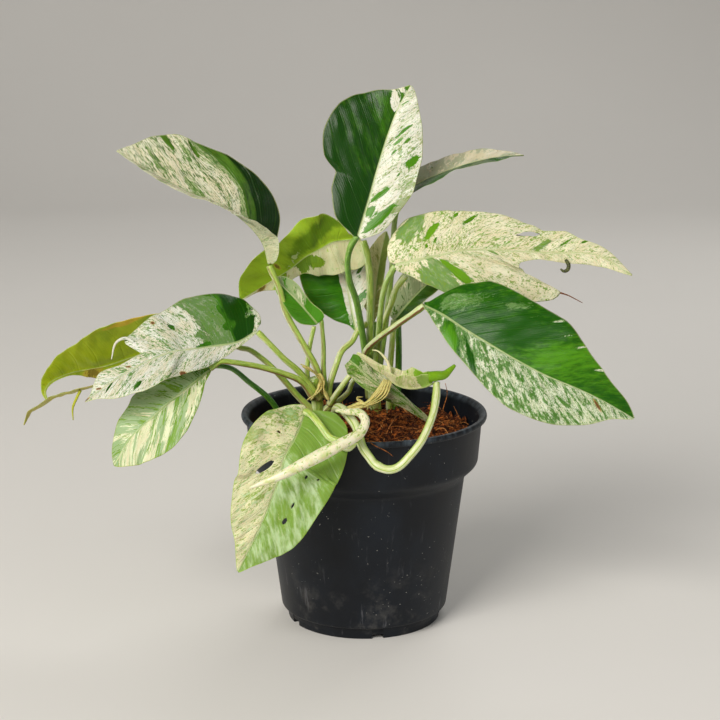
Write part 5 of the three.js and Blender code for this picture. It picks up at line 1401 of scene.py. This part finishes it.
def crumbly(x, y):
    """Fine crumb on top of the mound: three sizes of seeded soft noise, the finest one ridged."""
    return (1.4 * soft_noise(x, y, 3, 9) + 1.1 * soft_noise(x, y, 4, 4, 11)
            + 0.7 * (0.6 - np.abs(soft_noise(x, y, 5, 2.1, 13))))


def coir_values(tone, hollow_shade):
    """What the coir's material reads: how light each point is, and how dark it is painted as shade where
    the crumb lies low.
    """
    return np.stack([tone, hollow_shade, np.zeros_like(tone)], -1)


def coir_bed_shell():
    """The coir as one body: its crumbly top, and plain sides down the inside of the pot."""
    top = [[r, SOIL_Z] for r in np.linspace(SOIL_RADIUS, 0.6, COIR_RINGS)] + [[0, SOIL_Z]]
    profile = np.array(COIR_SIDES + top, float)

    def surface(R, A, Z):
        x, y = R * np.cos(A), R * np.sin(A)
        on_top = (np.arange(len(R)) >= len(COIR_SIDES) - 1)[:, None]
        return R, A, np.where(on_top, coir_height(x, y) + crumbly(x, y), Z)

    made = turned(profile, np.linspace(0, 2 * math.pi, COIR_ROUND, endpoint=False), surface)
    x, y = made["points"][:, :2].T
    made["points"][-1, 2] = coir_height(0.0, 0.0) + crumbly(0.0, 0.0)
    # Painted shade: the lower the crumb lies, the darker it is painted.
    hollow_shade = np.clip(0.35 - 0.42 * crumbly(x, y), 0, 1)
    tone = np.clip(0.35 + 0.25 * soft_noise(x, y, 8, 6), 0, 0.7)
    made["values"]["coir_look"] = coir_values(tone, hollow_shade)
    return made


def strands(starts, ways, lengths, radii, bend, rise, tones, sides=4, steps=6):
    """Many short bent fibres at once: each starts at a point, runs its way, bends to one side with the
    square of the run and rises as an arch."""
    s = np.linspace(0, 1, steps)[None, :, None]
    side = np.stack([-ways[:, 1], ways[:, 0], np.zeros(len(ways))], -1)
    line = (starts[:, None] + ways[:, None] * (lengths[:, None, None] * s)
            + side[:, None] * (bend[:, None, None] * s**2))
    arch = rise[:, None] * np.sin(math.pi * s[..., 0])
    line = line + np.stack([np.zeros_like(arch), np.zeros_like(arch), arch], -1)
    along = unit(np.gradient(line, axis=1))
    across = unit(np.cross(along, np.array([0.02, 0.03, 1.0])))
    other = np.cross(along, across)
    thin = radii[:, None] * np.sqrt(np.clip(1.05 - (2 * s[..., 0] - 1) ** 2, 0.05, 1))
    angle = np.linspace(0, 2 * math.pi, sides, endpoint=False)
    ring = line[:, :, None] + thin[..., None, None] * (
        across[:, :, None] * np.cos(angle)[:, None] + other[:, :, None] * np.sin(angle)[:, None])
    count = len(starts)
    index = np.arange(count * steps * sides).reshape(count, steps, sides)
    ahead = np.roll(index, -1, axis=2)
    quads = np.stack([index[:, :-1], ahead[:, :-1], ahead[:, 1:], index[:, 1:]], -1).reshape(-1, 4)
    ends = np.vstack([index[:, 0, ::-1], index[:, -1]])
    tone = np.repeat(tones, steps * sides)
    look = coir_values(tone, np.zeros_like(tone))
    return shell(ring.reshape(-1, 3), np.vstack([quads, ends]), coir_look=look)


def coir_fibre_shell():
    """Loose fibres scattered over the coir, most of them lying down and some standing up."""
    rng = np.random.default_rng(FIBRE_SEED)
    count = FIBRE_COUNT
    r = SOIL_RADIUS * np.sqrt(rng.uniform(0, 0.94, count))
    a = rng.uniform(0, 2 * math.pi, count)
    x, y = r * np.cos(a), r * np.sin(a)
    z = coir_height(x, y) + crumbly(x, y) + rng.uniform(-0.3, 0.7, count)
    heading = rng.uniform(0, 2 * math.pi, count)
    lengths = rng.uniform(*FIBRE_LENGTHS, count)
    ends_r = np.hypot(x + lengths * np.cos(heading), y + lengths * np.sin(heading))
    heading = np.where(ends_r > SOIL_RADIUS - 1, a + math.pi + rng.uniform(-0.9, 0.9, count), heading)
    climb = np.where(rng.uniform(0, 1, count) < STANDING_SHARE, rng.uniform(0.1, 0.5, count),
                     rng.uniform(-0.06, 0.08, count))
    ways = unit(np.stack([np.cos(heading), np.sin(heading), climb], -1))
    lifts = rng.uniform(0.1, 1.2, count)
    return strands(np.stack([x, y, z], -1), ways, lengths, rng.uniform(*FIBRE_RADII, count),
                   rng.uniform(*FIBRE_BENDS, count), lifts, rng.uniform(0, 1.0, count) ** 1.4)


def long_fibre_shell():
    """The few long fibres that stand out of the coir or lie over the rim."""
    made = [tube(path, [0.32, 0.26, 0.14], sides=6, spacing=0.8) for path in FIBRES]
    for i, fibre in enumerate(made):
        tone = np.full(len(fibre["points"]), 0.8 + 0.02 * i)
        fibre["values"] = {"coir_look": coir_values(tone, np.zeros_like(tone))}
    return joined(made)


# Stalks, sheaths and the rolled leaf

def stalk_shell(stalk, seed):
    """A stalk with a shallow channel along one side, a slight swelling below the blade, a wider foot,
    and a raised ring at each joint of the stem."""
    def section(angle, share):
        channel = 0.16 * np.exp(-(((angle - 1.9) / 0.42) ** 2))
        return 1 - channel * np.sin(math.pi * np.clip(share * 1.3, 0, 1))

    def swell(share):
        knee = 0.16 * np.exp(-(((share - 0.95) / 0.035) ** 2))
        foot = 0.22 * np.exp(-((share / 0.08) ** 2))
        joints = sum(0.13 * np.exp(-(((share - at) / 0.008) ** 2)) for at in stalk.get("rings", []))
        return 1 + knee + foot + joints

    return tube(stalk["path"], stalk["r"], section=section, swell=swell,
                stalk_look=[stalk["dark"], stalk["red"], seed * 3.7])


def sheath_shells(parts):
    """Dry strips: flat, twisted tubes that thin out at both ends."""
    def section(angle, share):
        flat = 0.28 + 0.12 * np.sin(9 * share)
        turn = angle - 2.4 * share
        return flat / np.hypot(np.cos(turn) * flat, np.sin(turn)) * 1.5

    def swell(share):
        return 0.25 + 0.75 * np.sin(math.pi * np.clip(share * 0.92 + 0.04, 0, 1)) ** 0.6

    return joined([tube(s["path"], s["r"], sides=16, spacing=0.5, section=section, swell=swell)
                   for s in parts])


def spear_shell():
    """A blade still rolled on itself: the radius grows once round and steps back at the seam, which
    winds slowly along the roll."""
    def section(angle, share):
        turn = (angle / (2 * math.pi) + 0.62 + 0.35 * share) % 1
        return 0.86 + 0.2 * turn

    return tube(SPEAR_PATH, SPEAR_RADII, sides=48, spacing=0.7, section=section)


def wisp_shell():
    """Dried ends that still hang from torn leaves: thin curved tubes that taper off."""
    return joined([tube(w["path"], w["r"], sides=8, spacing=0.4, wisp_look=[w["dark"], i, 0])
                   for i, w in enumerate(WISPS)])


# Pieces

def build_plant():
    """Blades, stalks, sheaths, the rolled leaf and the wisps."""
    for seed, (name, shape) in enumerate(LEAVES.items(), 1):
        leaf = {**USUAL_LEAF, **shape}
        look = {**USUAL_LOOK, **LEAF_LOOKS[name]}
        parts = [leaf_shell(leaf, look, seed)]
        parts.extend(spur_shell(spur, seed) for spur in leaf["spurs"])
        make_piece(name + "_blade", joined(parts), leaf_material(name + "_skin", look), "leaf", name)
    skin = stalk_material()
    for name, stalks in STALKS.items():
        made = joined([stalk_shell(stalk, seed) for seed, stalk in enumerate(stalks)])
        make_piece(name + "_skin", made, skin, "stalk", name)
    dry = sheath_material()
    for name, parts in SHEATHS.items():
        make_piece(name + "_strips", sheath_shells(parts), dry, "sheath", name)
    make_piece("leaf_rolled_spear", spear_shell(), spear_material(), "leaf", "leaf_rolled")
    make_piece("dried_wisps", wisp_shell(), wisp_material(), "leaf")


def build_pot():
    """The pot, the coir in it, and its loose fibres."""
    make_piece("pot_wall", pot_shell(), pot_material(), "pot", "pot")
    coir = coir_material()
    make_piece("coir_bed", coir_bed_shell(), coir, "coir", "coir")
    make_piece("coir_fibres", coir_fibre_shell(), coir, "coir")
    make_piece("coir_long_fibres", long_fibre_shell(), coir, "coir")


# Stage

def build_floor():
    """A pale sheet that lies flat under the pot and sweeps up into a wall far behind it."""
    turn = np.linspace(0, math.pi / 2, 25)
    y = np.concatenate([[FLOOR_FRONT], FLOOR_BEND_AT + FLOOR_BEND * np.sin(turn),
                        [FLOOR_BEND_AT + FLOOR_BEND]])
    z = np.concatenate([[0.0], FLOOR_BEND - FLOOR_BEND * np.cos(turn), [FLOOR_TOP]])
    x = np.full_like(y, FLOOR_HALF_WIDTH)
    n = len(y)
    points = np.vstack([np.stack([-x, y, z], -1), np.stack([x, y, z], -1)])
    faces = [(i, i + n, i + n + 1, i + 1) for i in range(n - 1)]
    mesh = bpy.data.meshes.new("floor")
    mesh.from_pydata(points.tolist(), [], faces)
    mesh.polygons.foreach_set("use_smooth", np.ones(n - 1, bool))
    mesh.materials.append(floor_material())
    floor = bpy.data.objects.new("floor", mesh)
    bpy.context.scene.collection.objects.link(floor)


def add_lamp(name, place, target, size, power, colour):
    """An area lamp that is turned about Z and tilted until it faces its target."""
    data = bpy.data.lights.new(name, "AREA")
    data.shape = "RECTANGLE"
    data.size, data.size_y = size
    data.energy = power
    data.color = colour
    lamp = bpy.data.objects.new(name, data)
    aim = np.array(target, float) - np.array(place, float)
    lamp.location = place
    tilt = math.atan2(math.hypot(aim[0], aim[1]), -aim[2])
    lamp.rotation_euler = (tilt, 0, math.atan2(aim[1], aim[0]) - math.pi / 2)
    bpy.context.scene.collection.objects.link(lamp)


def build_light():
    """Three soft lamps, and a dim even room light round them."""
    for lamp in LAMPS:
        add_lamp(*lamp)
    world = bpy.data.worlds.new("studio")
    world.use_nodes = True
    world.node_tree.nodes["Background"].inputs[0].default_value = ROOM_COLOUR
    world.node_tree.nodes["Background"].inputs[1].default_value = ROOM_STRENGTH
    bpy.context.scene.world = world
    bpy.context.scene.view_settings.view_transform = "Standard"


def build_camera():
    """The photograph's view: level with the leaves and looking 13 degrees down."""
    data = bpy.data.cameras.new("camera")
    data.sensor_width = SENSOR_WIDTH
    data.lens = CAMERA_LENS
    camera = bpy.data.objects.new("camera", data)
    camera.location = CAMERA_PLACE
    camera.rotation_euler = (math.radians(90 - CAMERA_DOWN_DEGREES), 0, 0)
    bpy.context.scene.collection.objects.link(camera)
    bpy.context.scene.camera = camera


build_camera()
build_floor()
build_light()
build_pot()
build_plant()
